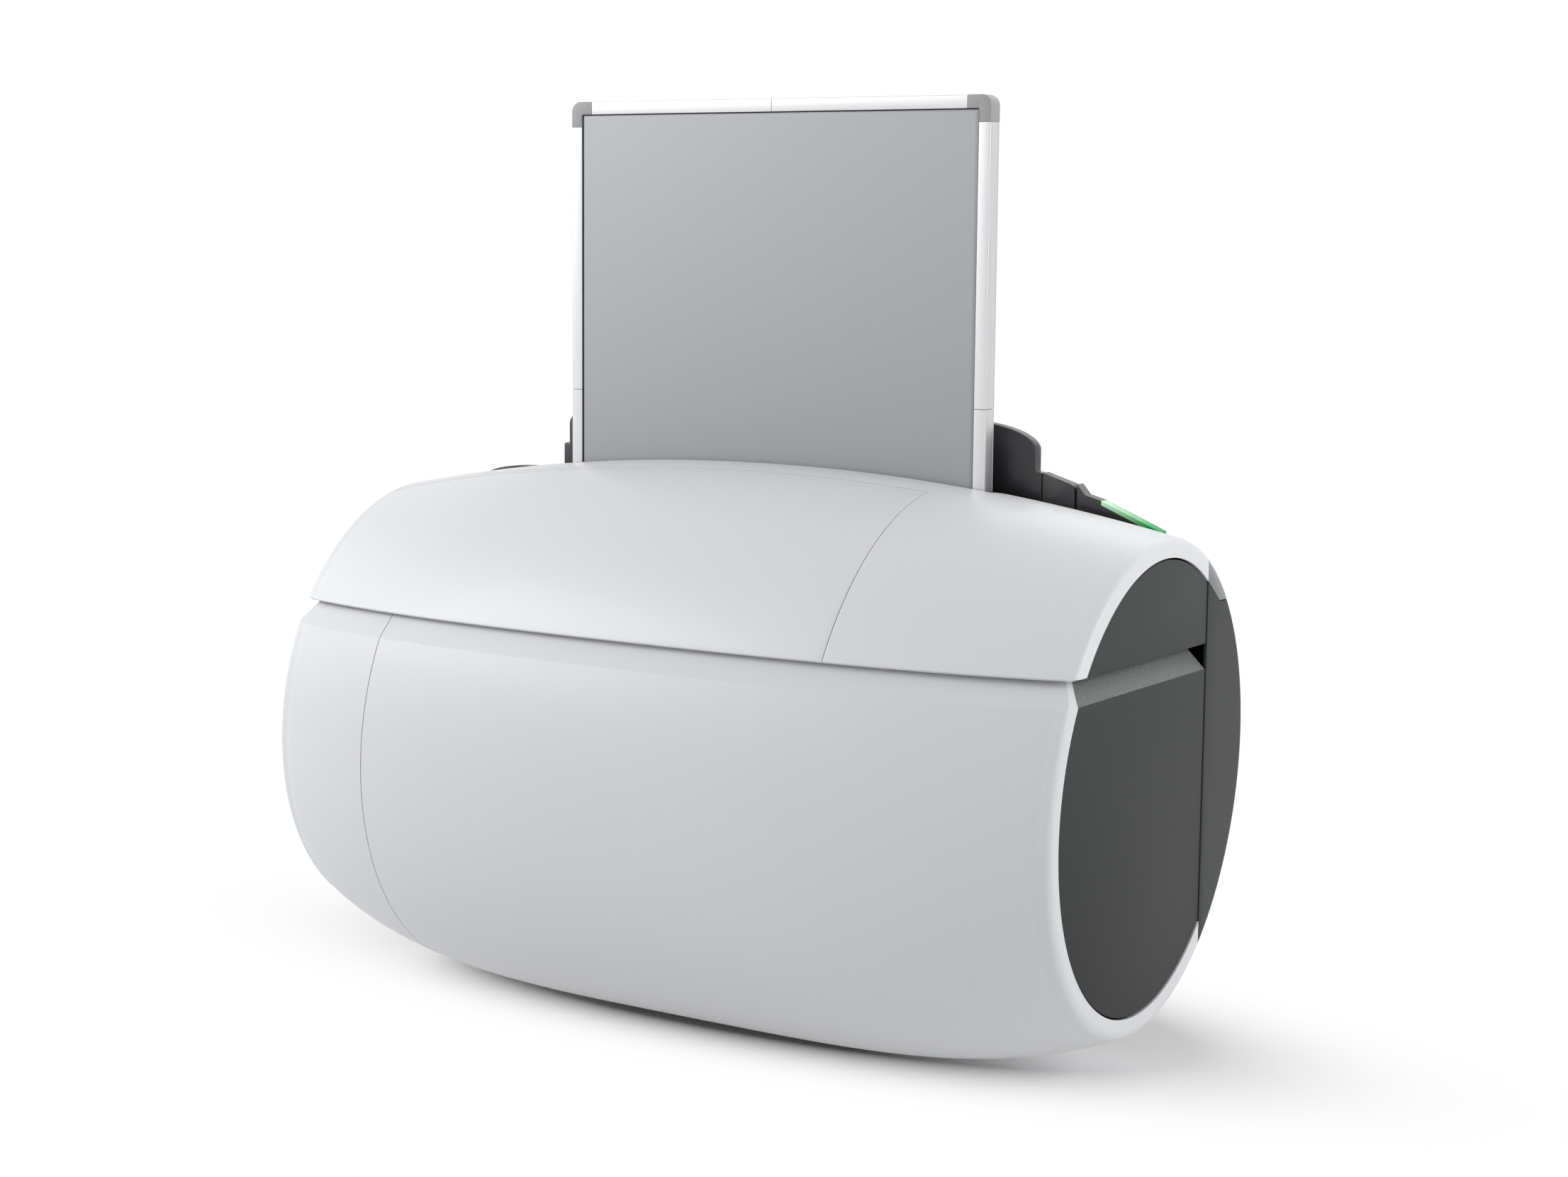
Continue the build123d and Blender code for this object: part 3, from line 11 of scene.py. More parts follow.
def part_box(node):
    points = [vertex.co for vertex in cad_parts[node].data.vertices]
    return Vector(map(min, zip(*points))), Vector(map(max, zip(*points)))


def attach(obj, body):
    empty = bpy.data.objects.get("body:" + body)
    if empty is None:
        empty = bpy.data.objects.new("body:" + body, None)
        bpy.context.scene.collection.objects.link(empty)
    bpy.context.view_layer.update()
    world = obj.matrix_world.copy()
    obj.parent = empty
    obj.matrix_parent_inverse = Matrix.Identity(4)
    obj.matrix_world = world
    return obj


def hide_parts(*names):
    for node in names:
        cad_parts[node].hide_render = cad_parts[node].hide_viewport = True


bl_info = {
    "name": "Phosphor plate scanner",
    "version": (1, 0, 0),
    "blender": (4, 5, 0),
    "location": "View3D > Sidebar > Scanner",
    "description": "Builds a desktop phosphor plate scanner with its cassette",
    "category": "Object",
}

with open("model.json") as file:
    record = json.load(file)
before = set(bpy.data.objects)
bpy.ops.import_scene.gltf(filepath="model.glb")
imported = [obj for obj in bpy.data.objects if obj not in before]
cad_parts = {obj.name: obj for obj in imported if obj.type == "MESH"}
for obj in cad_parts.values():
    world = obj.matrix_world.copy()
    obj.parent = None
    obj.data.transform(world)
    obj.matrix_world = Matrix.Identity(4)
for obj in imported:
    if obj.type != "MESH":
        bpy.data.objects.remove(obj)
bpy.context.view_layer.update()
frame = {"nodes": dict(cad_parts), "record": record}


# Settings


def length(name, description, default):
    """A setting that is a length in metres."""
    return bpy.props.FloatProperty(name=name, description=description, default=default, unit="LENGTH")


def plain_number(name, description, default):
    """A setting without a unit."""
    return bpy.props.FloatProperty(name=name, description=description, default=default)


def paint(name, description, default):
    """A setting that is a colour."""
    return bpy.props.FloatVectorProperty(
        name=name, description=description, default=default, subtype="COLOR", size=3)


class ShellSizes(bpy.types.PropertyGroup):
    """Sizes of the barrel-shaped body and of the seams between its shells."""

    half_length: length("Half length", "Half the length of the body", 0.3472)
    end_depth: length("End depth radius", "Short radius of the flat ends", 0.1525)
    end_height: length("End height radius", "Long radius of the flat ends", 0.1797)
    mid_depth: length("Middle depth radius", "Short radius in the middle", 0.1863)
    mid_height: length("Middle height radius", "Long radius in the middle", 0.2186)
    lean: bpy.props.FloatProperty(
        name="Lean", description="Backward lean of the oval sections", default=math.radians(20.7),
        subtype="ANGLE", unit="ROTATION")
    top_swell: plain_number("Top swell", "Power of the top's swell along the body", 2.1)
    bottom_swell: plain_number("Bottom swell", "Power of the bottom's swell along the body", 4.0)
    end_shift: length("End shift", "Depth of the flat ends' middle", 0.0018)
    end_level: length("End level", "Height of the flat ends' middle", 0.2280)
    mid_level: length("Middle level", "Height of the middle section's centre", 0.2244)
    cap_side: length("Cap side", "Width of the rim round the end caps, sideways", 0.0133)
    cap_top: length("Cap top", "Width of the rim round the end caps, upwards", 0.0135)
    cap_shift: length("Cap shift", "Shift of the end caps from the ends' middle", -0.0025)
    cap_fit: plain_number("Cap fit", "Size of the end caps in their openings, as a share", 0.995)
    wall: length("Wall", "Thickness of the shells", 0.003)
    seam: length("Seam", "Gap between two shells", 0.0008)
    edge: length("Edge rounding", "Rounding of the shells' edges", 0.0005)
    rim: length("Rim radius", "Rounding of the body's two ends", 0.007)
    dip_width: length("Dip width", "Width of the soft groove before the rim", 0.011)
    dip_depth: length("Dip depth", "Depth of the soft groove before the rim", 0.0005)
    seam_height: length("Seam height", "Height of the long seam", 0.3213)
    crease: length("Crease", "Depth of the hood's upper edge", -0.010)
    rear_seam: length("Rear seam", "Depth of the seam before the rear housing", 0.0875)
    hood_right: length("Hood's right edge", "Place of the hood's right edge", 0.165)
    upper_split: length("Upper split", "Place of the seam at the deck's left", -0.2532)
    lower_split: length("Lower split", "Place of the seam between the lower shells", -0.2392)
    slope_height: length("Slope height", "Height of the slope under the long seam", 0.019)
    slope_depth: length("Slope depth", "Set back of the slope at the front", 0.017)
    slope_end: length("Slope end", "Set back of the slope at the ends", 0.012)


class CassetteSizes(bpy.types.PropertyGroup):
    """Sizes of the cassette."""

    width: length("Width", "Outside width", 0.383)
    height: length("Height", "Outside height", 0.460)
    depth: length("Depth", "Outside depth", 0.014)
    rail: length("Rail", "Width of a rail", 0.010)
    corner: length("Corner", "Length of a corner's arms", 0.020)
    corner_radius: length("Corner radius", "Rounding of the corners", 0.008)
    slot: length("Slot", "Length of the slot for the plate", 0.358)
    front: length("Front", "Place of the front face", 0.0275)
    bottom: length("Bottom", "Height of the lower edge", 0.259)


class Finishes(bpy.types.PropertyGroup):
    """Colours of the main finishes."""

    white: paint("White", "White shells", (0.74, 0.745, 0.755))
    lower: paint("Lower white", "Lower shells", (0.70, 0.705, 0.715))
    cap: paint("Cap grey", "End caps", (0.036, 0.038, 0.0375))
    rear: paint("Rear grey", "Rear housing", (0.036, 0.038, 0.0375))
    deck: paint("Deck grey", "Deck and support", (0.027, 0.028, 0.031))
    panel: paint("Panel grey", "Cassette panels", (0.455, 0.46, 0.48))
    rail: paint("Rail", "Cassette rails", (0.60, 0.60, 0.61))
    lens: paint("Lens green", "Status lens", (0.012, 0.34, 0.085))


# Mesh helpers


def link_object(name, mesh):
    """A new object in the scene with a mesh."""
    made = bpy.data.objects.new(name, mesh)
    bpy.context.scene.collection.objects.link(made)
    return made


def mesh_object(name, points, faces):
    """A new object from points in metres and faces."""
    mesh = bpy.data.meshes.new(name)
    mesh.from_pydata([tuple(p) for p in points], [], [tuple(f) for f in faces])
    mesh.update()
    return link_object(name, mesh)


def with_mesh(made, change):
    """Run one change on an object's mesh."""
    work = bmesh.new()
    work.from_mesh(made.data)
    change(work)
    work.to_mesh(made.data)
    work.free()
    made.data.update()


def outward(work):
    """Turn all faces outwards, after merging doubles."""
    bmesh.ops.remove_doubles(work, verts=work.verts, dist=1e-6)
    bmesh.ops.recalc_face_normals(work, faces=work.faces)


def settle(made):
    """Apply an object's modifiers and leave it as a plain mesh."""
    graph = bpy.context.evaluated_depsgraph_get()
    done = bpy.data.meshes.new_from_object(made.evaluated_get(graph))
    made.modifiers.clear()
    old = made.data
    made.data = done
    bpy.data.meshes.remove(old)
    return made


def round_edges(made, width, segments=2, sharp=40, smooth=35):
    """Round the edges sharper than one angle, and smooth the faces up to another."""
    if width:
        rounding = made.modifiers.new("edges", "BEVEL")
        rounding.width = width
        rounding.segments = segments
        rounding.limit_method = "ANGLE"
        rounding.angle_limit = math.radians(sharp)
        settle(made)
    mesh = made.data
    mesh.polygons.foreach_set("use_smooth", [True] * len(mesh.polygons))
    mesh.set_sharp_from_angle(angle=math.radians(smooth))
    return made


def cut(made, other, operation="DIFFERENCE", solver="MANIFOLD"):
    """Cut or intersect a mesh with another, and delete the other."""
    boolean = made.modifiers.new("cut", "BOOLEAN")
    boolean.operation = operation
    boolean.solver = solver
    boolean.object = other
    settle(made)
    bpy.data.objects.remove(other)
    return made


def closed_rings(name, rings):
    """A closed solid through rings of points."""
    wide = len(rings[0])
    points = [p for ring in rings for p in ring]
    faces = [tuple(range(wide)), tuple(range((len(rings) - 1) * wide, len(rings) * wide))]
    for i in range(len(rings) - 1):
        for j in range(wide):
            a, b = i * wide + j, i * wide + (j + 1) % wide
            faces.append((a, b, b + wide, a + wide))
    made = mesh_object(name, points, faces)
    with_mesh(made, outward)
    return made


def prism(name, outline, axis, low, high):
    """A closed outline of pairs, extruded along an axis between two places."""
    at = {"X": 0, "Y": 1, "Z": 2}[axis]
    return closed_rings(name, [[(*pair[:at], place, *pair[at:]) for pair in outline] for place in (low, high)])


def box_mesh(name, low, high):
    """A box between two corners."""
    outline = [(low[0], low[1]), (high[0], low[1]), (high[0], high[1]), (low[0], high[1])]
    return prism(name, outline, "Z", low[2], high[2])


def arc(centre_a, centre_b, radius, start, end, steps):
    """Points on an arc, in pairs."""
    turns = [math.radians(start + (end - start) * i / steps) for i in range(steps + 1)]
    return [(centre_a + radius * math.cos(t), centre_b + radius * math.sin(t)) for t in turns]


def join(name, parts):
    """Several objects as one."""
    work = bmesh.new()
    for part in parts:
        work.from_mesh(part.data)
    mesh = bpy.data.meshes.new(name)
    work.to_mesh(mesh)
    work.free()
    for part in parts:
        bpy.data.objects.remove(part)
    return link_object(name, mesh)


def dress(made, finish, body="root", replaces=()):
    """Give a finished piece its material and let it ride on its body."""
    made.data.materials.clear()
    made.data.materials.append(MATERIALS[finish])
    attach(made, body)
    if replaces:
        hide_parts(*replaces)
    return made


# The body's surface

BODY_MIDDLE = Vector((0, 0, 0.22))
RIM_STEPS = 8
FACE_STEPS = 3
SKIN_STEP = 0.005
DIP_STEP = 0.001
BODY_TURNS = 200
HOLE_TURNS = 160
# Distances from the middle between which the caps' hole is cut
HOLE_ENDS = 0.32, 0.36


class Section:
    """One leaning oval section of the body."""

    def __init__(self, x, depth, height, centre_y, centre_z, lean):
        self.x, self.depth, self.height = x, depth, height
        self.centre_y, self.centre_z, self.lean = centre_y, centre_z, lean

    def point(self, turn):
        """Place on the oval at an angle."""
        across = self.depth * math.cos(turn)
        along = self.height * math.sin(turn)
        return (self.x, self.centre_y + across * math.cos(self.lean) + along * math.sin(self.lean),
                self.centre_z - across * math.sin(self.lean) + along * math.cos(self.lean))

    def points(self, start, end, steps, last=True):
        """Evenly turned places from one angle to another, the last one included or not."""
        return [self.point(start + (end - start) * j / steps) for j in range(steps + last)]

    def turn_at(self, offset, along, across):
        """Angle at an offset from the centre."""
        share = max(-1.0, min(1.0, offset / math.hypot(along, across)))
        return math.atan2(along, across) + math.acos(share)

    def at_height(self, z):
        """Angle of the place at a height, at the front."""
        along, across = self.height * math.cos(self.lean), -self.depth * math.sin(self.lean)
        return self.turn_at(z - self.centre_z, along, across)

    def at_depth(self, y):
        """Angle of the place at a depth, on top."""
        along, across = self.height * math.sin(self.lean), self.depth * math.cos(self.lean)
        return self.turn_at(y - self.centre_y, along, across)


def blend(first, last, share):
    """A value between two others."""
    return first + (last - first) * share


def section_at(sizes, x):
    """The body's section at a place along it."""
    top = 1 - abs(x / sizes.half_length) ** sizes.top_swell
    bottom = 1 - abs(x / sizes.half_length) ** sizes.bottom_swell
    share = (top + bottom) / 2
    shift = (sizes.mid_height - sizes.end_height) * (top - bottom) / 2
    return Section(x, blend(sizes.end_depth, sizes.mid_depth, share),
                   blend(sizes.end_height, sizes.mid_height, share),
                   sizes.end_shift * (1 - share) + shift * math.sin(sizes.lean),
                   blend(sizes.end_level, sizes.mid_level, share) + shift * math.cos(sizes.lean), sizes.lean)


def end_fall(sizes):
    """Mean slope of the body's surface at its ends."""
    swell = (sizes.mid_depth - sizes.end_depth + sizes.mid_height - sizes.end_height) / 2
    return (sizes.top_swell + sizes.bottom_swell) / 2 * swell / sizes.half_length


def rim_start(sizes):
    """Distance from the middle at which the rim's rounding starts."""
    return sizes.half_length - sizes.rim + sizes.rim * math.sin(math.atan(end_fall(sizes)))


def rim_sections(sizes, side):
    """Sections round the rim at one end, and across its face to the cap's opening."""
    fall = end_fall(sizes)
    start = math.atan(fall)
    made = []
    for i in range(RIM_STEPS + 1):
        turn = start + (math.pi / 2 - start) * i / RIM_STEPS
        x = sizes.half_length - sizes.rim + sizes.rim * math.sin(turn)
        inset = (fall * (sizes.half_length - x) - fall * sizes.rim
                 + sizes.rim * math.hypot(1, fall) - sizes.rim * math.cos(turn))
        oval = section_at(sizes, x)
        made.append(Section(side * x, oval.depth - inset, oval.height - inset, oval.centre_y, oval.centre_z,
                            oval.lean))
    last = made[-1]
    for i in range(1, FACE_STEPS + 1):
        share = i / FACE_STEPS
        made.append(Section(last.x, blend(last.depth, sizes.end_depth - sizes.cap_side, share),
                            blend(last.height, sizes.end_height - sizes.cap_top, share),
                            last.centre_y + sizes.cap_shift * share, last.centre_z, last.lean))
    return made


def sections_between(sizes, low, high, step=SKIN_STEP):
    """Evenly spaced sections between two places, ends included."""
    count = max(1, round((high - low) / step))
    return [section_at(sizes, low + (high - low) * i / count) for i in range(count + 1)]


def body_with_rims(sizes, low=None, high=None):
    """Sections from one place to another; an end without a place gets its rim."""
    left_rim, right_rim = low is None, high is None
    low, high = -rim_start(sizes) if left_rim else low, rim_start(sizes) if right_rim else high
    stops = [low] + [low + sizes.dip_width] * left_rim + [high - sizes.dip_width] * right_rim + [high]
    made = []
    for a, b in zip(stops, stops[1:]):
        step = DIP_STEP if b - a < 1.01 * sizes.dip_width else SKIN_STEP
        made += sections_between(sizes, a, b, step)[bool(made):]
    for oval in made:
        share = (rim_start(sizes) - abs(oval.x)) / sizes.dip_width
        if 0 < share < 1:
            dip = sizes.dip_depth * (0.5 - 0.5 * math.cos(2 * math.pi * share))
            oval.depth -= dip
            oval.height -= dip
    if left_rim:
        made = rim_sections(sizes, -1)[:0:-1] + made
    if right_rim:
        made = made + rim_sections(sizes, 1)[1:]
    return made


def body_solid(sizes, inset):
    """The whole body as one closed solid, drawn in by an inset."""
    if inset:
        half = sizes.half_length - inset
        ovals = sections_between(sizes, -half, half)
    else:
        ovals = body_with_rims(sizes)[FACE_STEPS:-FACE_STEPS]
    rings = []
    for oval in ovals:
        oval.depth -= inset
        oval.height -= inset
        rings.append(oval.points(0, 2 * math.pi, BODY_TURNS, last=False))
    return closed_rings("body", rings)


def cap_hole(made, sizes, side):
    """Cut the hole of the end caps into a shell's flat end."""
    ring = Section(0, sizes.end_depth - sizes.cap_side, sizes.end_height - sizes.cap_top,
                   sizes.end_shift + sizes.cap_shift, sizes.end_level, sizes.lean)
    oval = [place[1:] for place in ring.points(0, 2 * math.pi, HOLE_TURNS, last=False)]
    return cut(made, prism("cap_hole", oval, "X", side * HOLE_ENDS[0], side * HOLE_ENDS[1]))


def skin_grid(name, rows, thickness=0.0):
    """A surface through rows of points, facing out from the body's middle."""
    wide = len(rows[0])
    faces = [(a, a + 1, a + wide + 1, a + wide)
             for i in range(len(rows) - 1) for a in range(i * wide, (i + 1) * wide - 1)]
    made = mesh_object(name, [p for row in rows for p in row], faces)

    def turn_out(work):
        outward(work)
        if sum(f.normal.dot(f.calc_center_median() - BODY_MIDDLE) for f in work.faces) < 0:
            bmesh.ops.reverse_faces(work, faces=work.faces)

    with_mesh(made, turn_out)
    return thicken(made, thickness) if thickness else made


def thicken(made, thickness):
    """Give a surface its wall, inwards."""
    wall = made.modifiers.new("wall", "SOLIDIFY")
    wall.thickness = thickness
    wall.offset = -1
    wall.use_even_offset = False
    wall.use_quality_normals = True
    return settle(made)


def front_of_slope(sizes, x, z):
    """Depth of the sloped band under the long seam, at a place along the body and a height."""
    low = sizes.seam_height - sizes.slope_height
    steps = (z - low) / sizes.slope_height
    oval = section_at(sizes, x / (sizes.half_length - steps * sizes.slope_end) * sizes.half_length)
    return oval.point(oval.at_height(low))[1] + steps * sizes.slope_depth


# Node helpers


def node(tree, kind, inputs=None, **settings):
    """A new node with its settings; each input takes a value or another node's output."""
    made = tree.nodes.new(kind)
    for name, value in settings.items():
        setattr(made, name, value)
    for name, value in (inputs or {}).items():
        if isinstance(value, bpy.types.NodeSocket):
            tree.links.new(value, made.inputs[name])
        else:
            made.inputs[name].default_value = value
    return made


def empty_tree(owner):
    """The emptied node tree of a material or a world."""
    owner.use_nodes = True
    owner.node_tree.nodes.clear()
    return owner.node_tree


def number(tree, operation, *values):
    """Result of a math node."""
    return node(tree, "ShaderNodeMath", dict(enumerate(values)), operation=operation).outputs[0]


def scaled(tree, vector, factor):
    """A vector or a colour, times a number."""
    return node(tree, "ShaderNodeVectorMath", {0: vector, "Scale": factor}, operation="SCALE").outputs[0]


def ranged(tree, value, start, end, low=0.0, high=1.0):
    """A value brought from one range to another."""
    return node(tree, "ShaderNodeMapRange", {"Value": value, "From Min": start, "From Max": end,
                                             "To Min": low, "To Max": high}).outputs[0]


def mixed(tree, factor, a, b):
    """A colour between two colours."""
    return node(tree, "ShaderNodeMix", {"Factor": factor, "A": a, "B": b}, data_type="RGBA").outputs["Result"]


def noise(tree, vector, scale, detail):
    """Noise at a place."""
    return node(tree, "ShaderNodeTexNoise", {"Vector": vector, "Scale": scale, "Detail": detail}).outputs["Fac"]


def seen_by(tree, *rays):
    """1 for the kinds of ray that are named, 0 for others."""
    path = node(tree, "ShaderNodeLightPath").outputs
    share = path[rays[0]]
    for ray in rays[1:]:
        share = number(tree, "MAXIMUM", share, path[ray])
    return share


def mixed_shader(tree, out, share, first, second):
    """Lead a mix of two shaders to the tree's output."""
    mix = node(tree, "ShaderNodeMixShader", {"Fac": share, 1: first.outputs[0], 2: second.outputs[0]})
    node(tree, out, {"Surface": mix.outputs[0]})


def new_group(name, kind, inputs, outputs):
    """A node group with named inputs and outputs, and its input node's sockets."""
    tree = bpy.data.node_groups.new(name, kind)
    for socket_name, socket_kind, default in inputs:
        socket = tree.interface.new_socket(
            name=socket_name, in_out="INPUT", socket_type="NodeSocket" + socket_kind)
        if default is not None:
            socket.default_value = default
    for socket_name, socket_kind in outputs:
        tree.interface.new_socket(name=socket_name, in_out="OUTPUT", socket_type="NodeSocket" + socket_kind)
    return tree, node(tree, "NodeGroupInput").outputs


# Finishes

GROUPS = {}
MATERIALS = {}

# Moulded and painted finishes: colour or the name of its setting, roughness and its change,
# scale and depth of the grain, change of tone, and other inputs of the shader
MOULDED = {
    "white_shell": ("white", 0.42, 0.08, 1400, 3e-5, 0.03, {"Coat Weight": 0.06, "Coat Roughness": 0.12}),
    # The rims' tails are white housing; their grey is painted shade
    "tail_grey": ((0.20, 0.205, 0.21), 0.24, 0.08, 1400, 2e-5, 0.03,
                  {"Coat Weight": 0.2, "Coat Roughness": 0.12}),
    "lower_shell": ("lower", 0.44, 0.08, 1400, 3e-5, 0.03, {"Coat Weight": 0.05, "Coat Roughness": 0.12}),
    "cap_dark": ("cap", 0.55, 0.08, 1800, 3e-5, 0.06, {"Specular IOR Level": 0.25}),
    "rear_dark": ("rear", 0.55, 0.08, 1500, 4e-5, 0.06, {"Specular IOR Level": 0.28}),
    "deck_dark": ("deck", 0.38, 0.08, 1600, 4e-5, 0.08, {}),
    "cassette_panel": ("panel", 0.5, 0.08, 2600, 2e-5, 0.03, {}),
    "corner": ((0.36, 0.355, 0.355), 0.5, 0.08, 1800, 4e-5, 0.05, {}),
    "imaging_plate": ((0.82, 0.86, 0.92), 0.62, 0.08, 2400, 2e-5, 0.02, {}),
    "roller_rubber": ((0.018, 0.018, 0.019), 0.74, 0.08, 1100, 8e-5, 0.2, {}),
    "foot_rubber": ((0.014, 0.014, 0.014), 0.8, 0.08, 900, 1e-4, 0.25, {}),
    "black_mould": ((0.018, 0.019, 0.021), 0.5, 0.08, 1200, 6e-5, 0.15, {}),
    # Black ring of painted shade in the panels' gaps
    "seal_black": ((0.01, 0.01, 0.01), 0.85, 0.08, 1200, 4e-5, 0.2, {}),
    "motor_body": ((0.028, 0.029, 0.032), 0.4, 0.08, 1500, 4e-5, 0.15, {}),
    "belt_rubber": ((0.02, 0.02, 0.02), 0.7, 0.08, 1600, 8e-5, 0.2, {}),
    "clear_bar": ((0.86, 0.93, 0.95), 0.06, 0.02, 40, 1e-5, 0.02, {"Transmission Weight": 0.9, "IOR": 1.49}),
    "mirror_face": ((0.92, 0.92, 0.93), 0.05, 0.02, 60, 1e-6, 0.02, {"Metallic": 1.0}),
    "board_green": ((0.02, 0.13, 0.06), 0.35, 0.08, 400, 5e-5, 0.25, {}),
    "detector_case": ((0.07, 0.072, 0.08), 0.42, 0.08, 1300, 4e-5, 0.12, {}),
    "switch_black": ((0.012, 0.012, 0.012), 0.25, 0.08, 900, 2e-5, 0.1, {}),
    "diode": ((0.80, 0.66, 0.20), 0.35, 0.08, 800, 2e-5, 0.2, {}),
    "green_lens": ("lens", 0.3, 0.08, 500, 2e-5, 0.1, {"Specular IOR Level": 0.1, "Emission Strength": 0.14}),
}
MOULDED_BUMP = 0.25

# Brushed metals: colour or the name of its setting, roughness, stretch of the lines, change of tone
BRUSHED = {
    "rail": ("rail", 0.46, (1200, 1200, 14), 0.12),
    "rail_across": ("rail", 0.46, (14, 1200, 1200), 0.12),
    "zinc_sheet": ((0.55, 0.56, 0.57), 0.42, (900, 60, 60), 0.2),
    "steel_bar": ((0.58, 0.58, 0.60), 0.26, (12, 900, 900), 0.12),
    "bush_bronze": ((0.60, 0.38, 0.16), 0.4, (700, 700, 700), 0.25),
    "port_metal": ((0.62, 0.62, 0.63), 0.3, (400, 400, 30), 0.12),
}
BRUSHED_BUMP, BRUSHED_DEPTH, BRUSHED_CHANGE = 0.2, 2e-5, 0.2

# The lower caps' sloped top: its heights, and two speck colours that are paler than the cap, painted light where
# the slope faces up
SLOPE_HEIGHTS = 0.3025, 0.3213
SLOPE_SPECKS_PAINTED_LIGHT = (0.135, 0.142, 0.139, 1), (0.235, 0.245, 0.240, 1)
SPECK_SCALE, SPECK_SPREAD = 1100.0, (0.35, 0.75)
# Painted shade: two heights, and the factors by which they change the colour
CAP_PAINTED_SHADE, PANEL_PAINTED_SHADE = (0.07, 0.33, 0.62, 1.12), (0.42, 0.70, 0.84, 1.06)
# Painted light on the lens: where along the body it runs from pale to green, and the pale colour
LENS_ENDS, LENS_PAINTED_LIGHT = (0.273, 0.312), (0.62, 0.92, 0.66, 1)


def grain_pattern(tree, inside):
    """A slow change of tone, and fine moulded grain."""
    return noise(tree, inside["Vector"], 6.0, 3.0), noise(tree, inside["Vector"], inside["Grain Scale"], 2.0)


def brush_pattern(tree, inside):
    """Long brush lines along one direction, for the tone and the height."""
    stretched = node(tree, "ShaderNodeVectorMath", {0: inside["Vector"], 1: inside["Stretch"]},
                     operation="MULTIPLY").outputs[0]
    return [noise(tree, stretched, 1.0, 3.0)] * 2


def finish_group(name, own_input, pattern):
    """A group that lets a pattern change a colour and a roughness, and gives its height."""
    tree, inside = new_group(
        name, "ShaderNodeTree",
        [("Vector", "Vector", None), ("Colour", "Color", (0.5, 0.5, 0.5, 1)), ("Tone Change", "Float", 0.03),
         ("Roughness", "Float", 0.4), ("Roughness Change", "Float", 0.08), own_input],
        [("Colour", "Color"), ("Roughness", "Float"), ("Height", "Float")])
    slow, height = pattern(tree, inside)
    centred = number(tree, "SUBTRACT", slow, 0.5)
    tone = number(tree, "MULTIPLY_ADD", centred, inside["Tone Change"], 1.0)
    rough = number(tree, "MULTIPLY_ADD", centred, inside["Roughness Change"], inside["Roughness"])
    node(tree, "NodeGroupOutput", {"Colour": scaled(tree, inside["Colour"], tone), "Roughness": rough,
                                   "Height": height})
    return tree


def lens_painted_light(tree, _where, place, colour):
    """Painted light: pale at the lens's left end, deep green at its right."""
    return mixed(tree, ranged(tree, place["X"], *LENS_ENDS), LENS_PAINTED_LIGHT, colour)


def cap_painted_light(tree, where, place, colour):
    """Painted shade: darker towards the bottom. The lower caps' sloped top is paler, painted light where it faces
    up, and speckled with its grain.
    """
    on_slope = number(tree, "MULTIPLY", number(tree, "GREATER_THAN", place["Z"], SLOPE_HEIGHTS[0]),
                      number(tree, "LESS_THAN", place["Z"], SLOPE_HEIGHTS[1]))
    speck = ranged(tree, noise(tree, where, SPECK_SCALE, 1.0), *SPECK_SPREAD)
    # Painted shade: the cap's colour darkens towards the bottom
    painted_shade = scaled(tree, colour, ranged(tree, place["Z"], *CAP_PAINTED_SHADE))
    return mixed(tree, on_slope, painted_shade, mixed(tree, speck, *SLOPE_SPECKS_PAINTED_LIGHT))


def panel_painted_shade(tree, _where, place, colour):
    """Painted light and shade: a little paler towards the cassette's top, where more light falls, and darker low
    down, where the body shades it.
    """
    return scaled(tree, colour, ranged(tree, place["Z"], *PANEL_PAINTED_SHADE))


# Painted light and shade laid on the colour of three finishes
PAINTED_LIGHT_CHANGES = {"cap_dark": cap_painted_light, "cassette_panel": panel_painted_shade, "green_lens": lens_painted_light}


def make_finish(name, group, inputs, bump, shading):
    """A material that takes its colour, roughness and bump from a group."""
    MATERIALS[name] = bpy.data.materials.new(name)
    tree = empty_tree(MATERIALS[name])
    where = node(tree, "ShaderNodeTexCoord").outputs["Object"]
    source = node(tree, "ShaderNodeGroup", {"Vector": where, **inputs}, node_tree=GROUPS[group]).outputs
    colour = source["Colour"]
    if name in PAINTED_LIGHT_CHANGES:
        place = node(tree, "ShaderNodeSeparateXYZ", {0: where}).outputs
        colour = PAINTED_LIGHT_CHANGES[name](tree, where, place, colour)
    if "Emission Strength" in shading:
        shading = {**shading, "Emission Color": colour}
    strength, distance = bump
    raised = node(tree, "ShaderNodeBump", {"Strength": strength, "Distance": distance,
                                           "Height": source["Height"]}).outputs["Normal"]
    shader = node(tree, "ShaderNodeBsdfPrincipled", {"Base Color": colour, "Roughness": source["Roughness"],
                                                     "Normal": raised, **shading})
    node(tree, "ShaderNodeOutputMaterial", {"Surface": shader.outputs[0]})


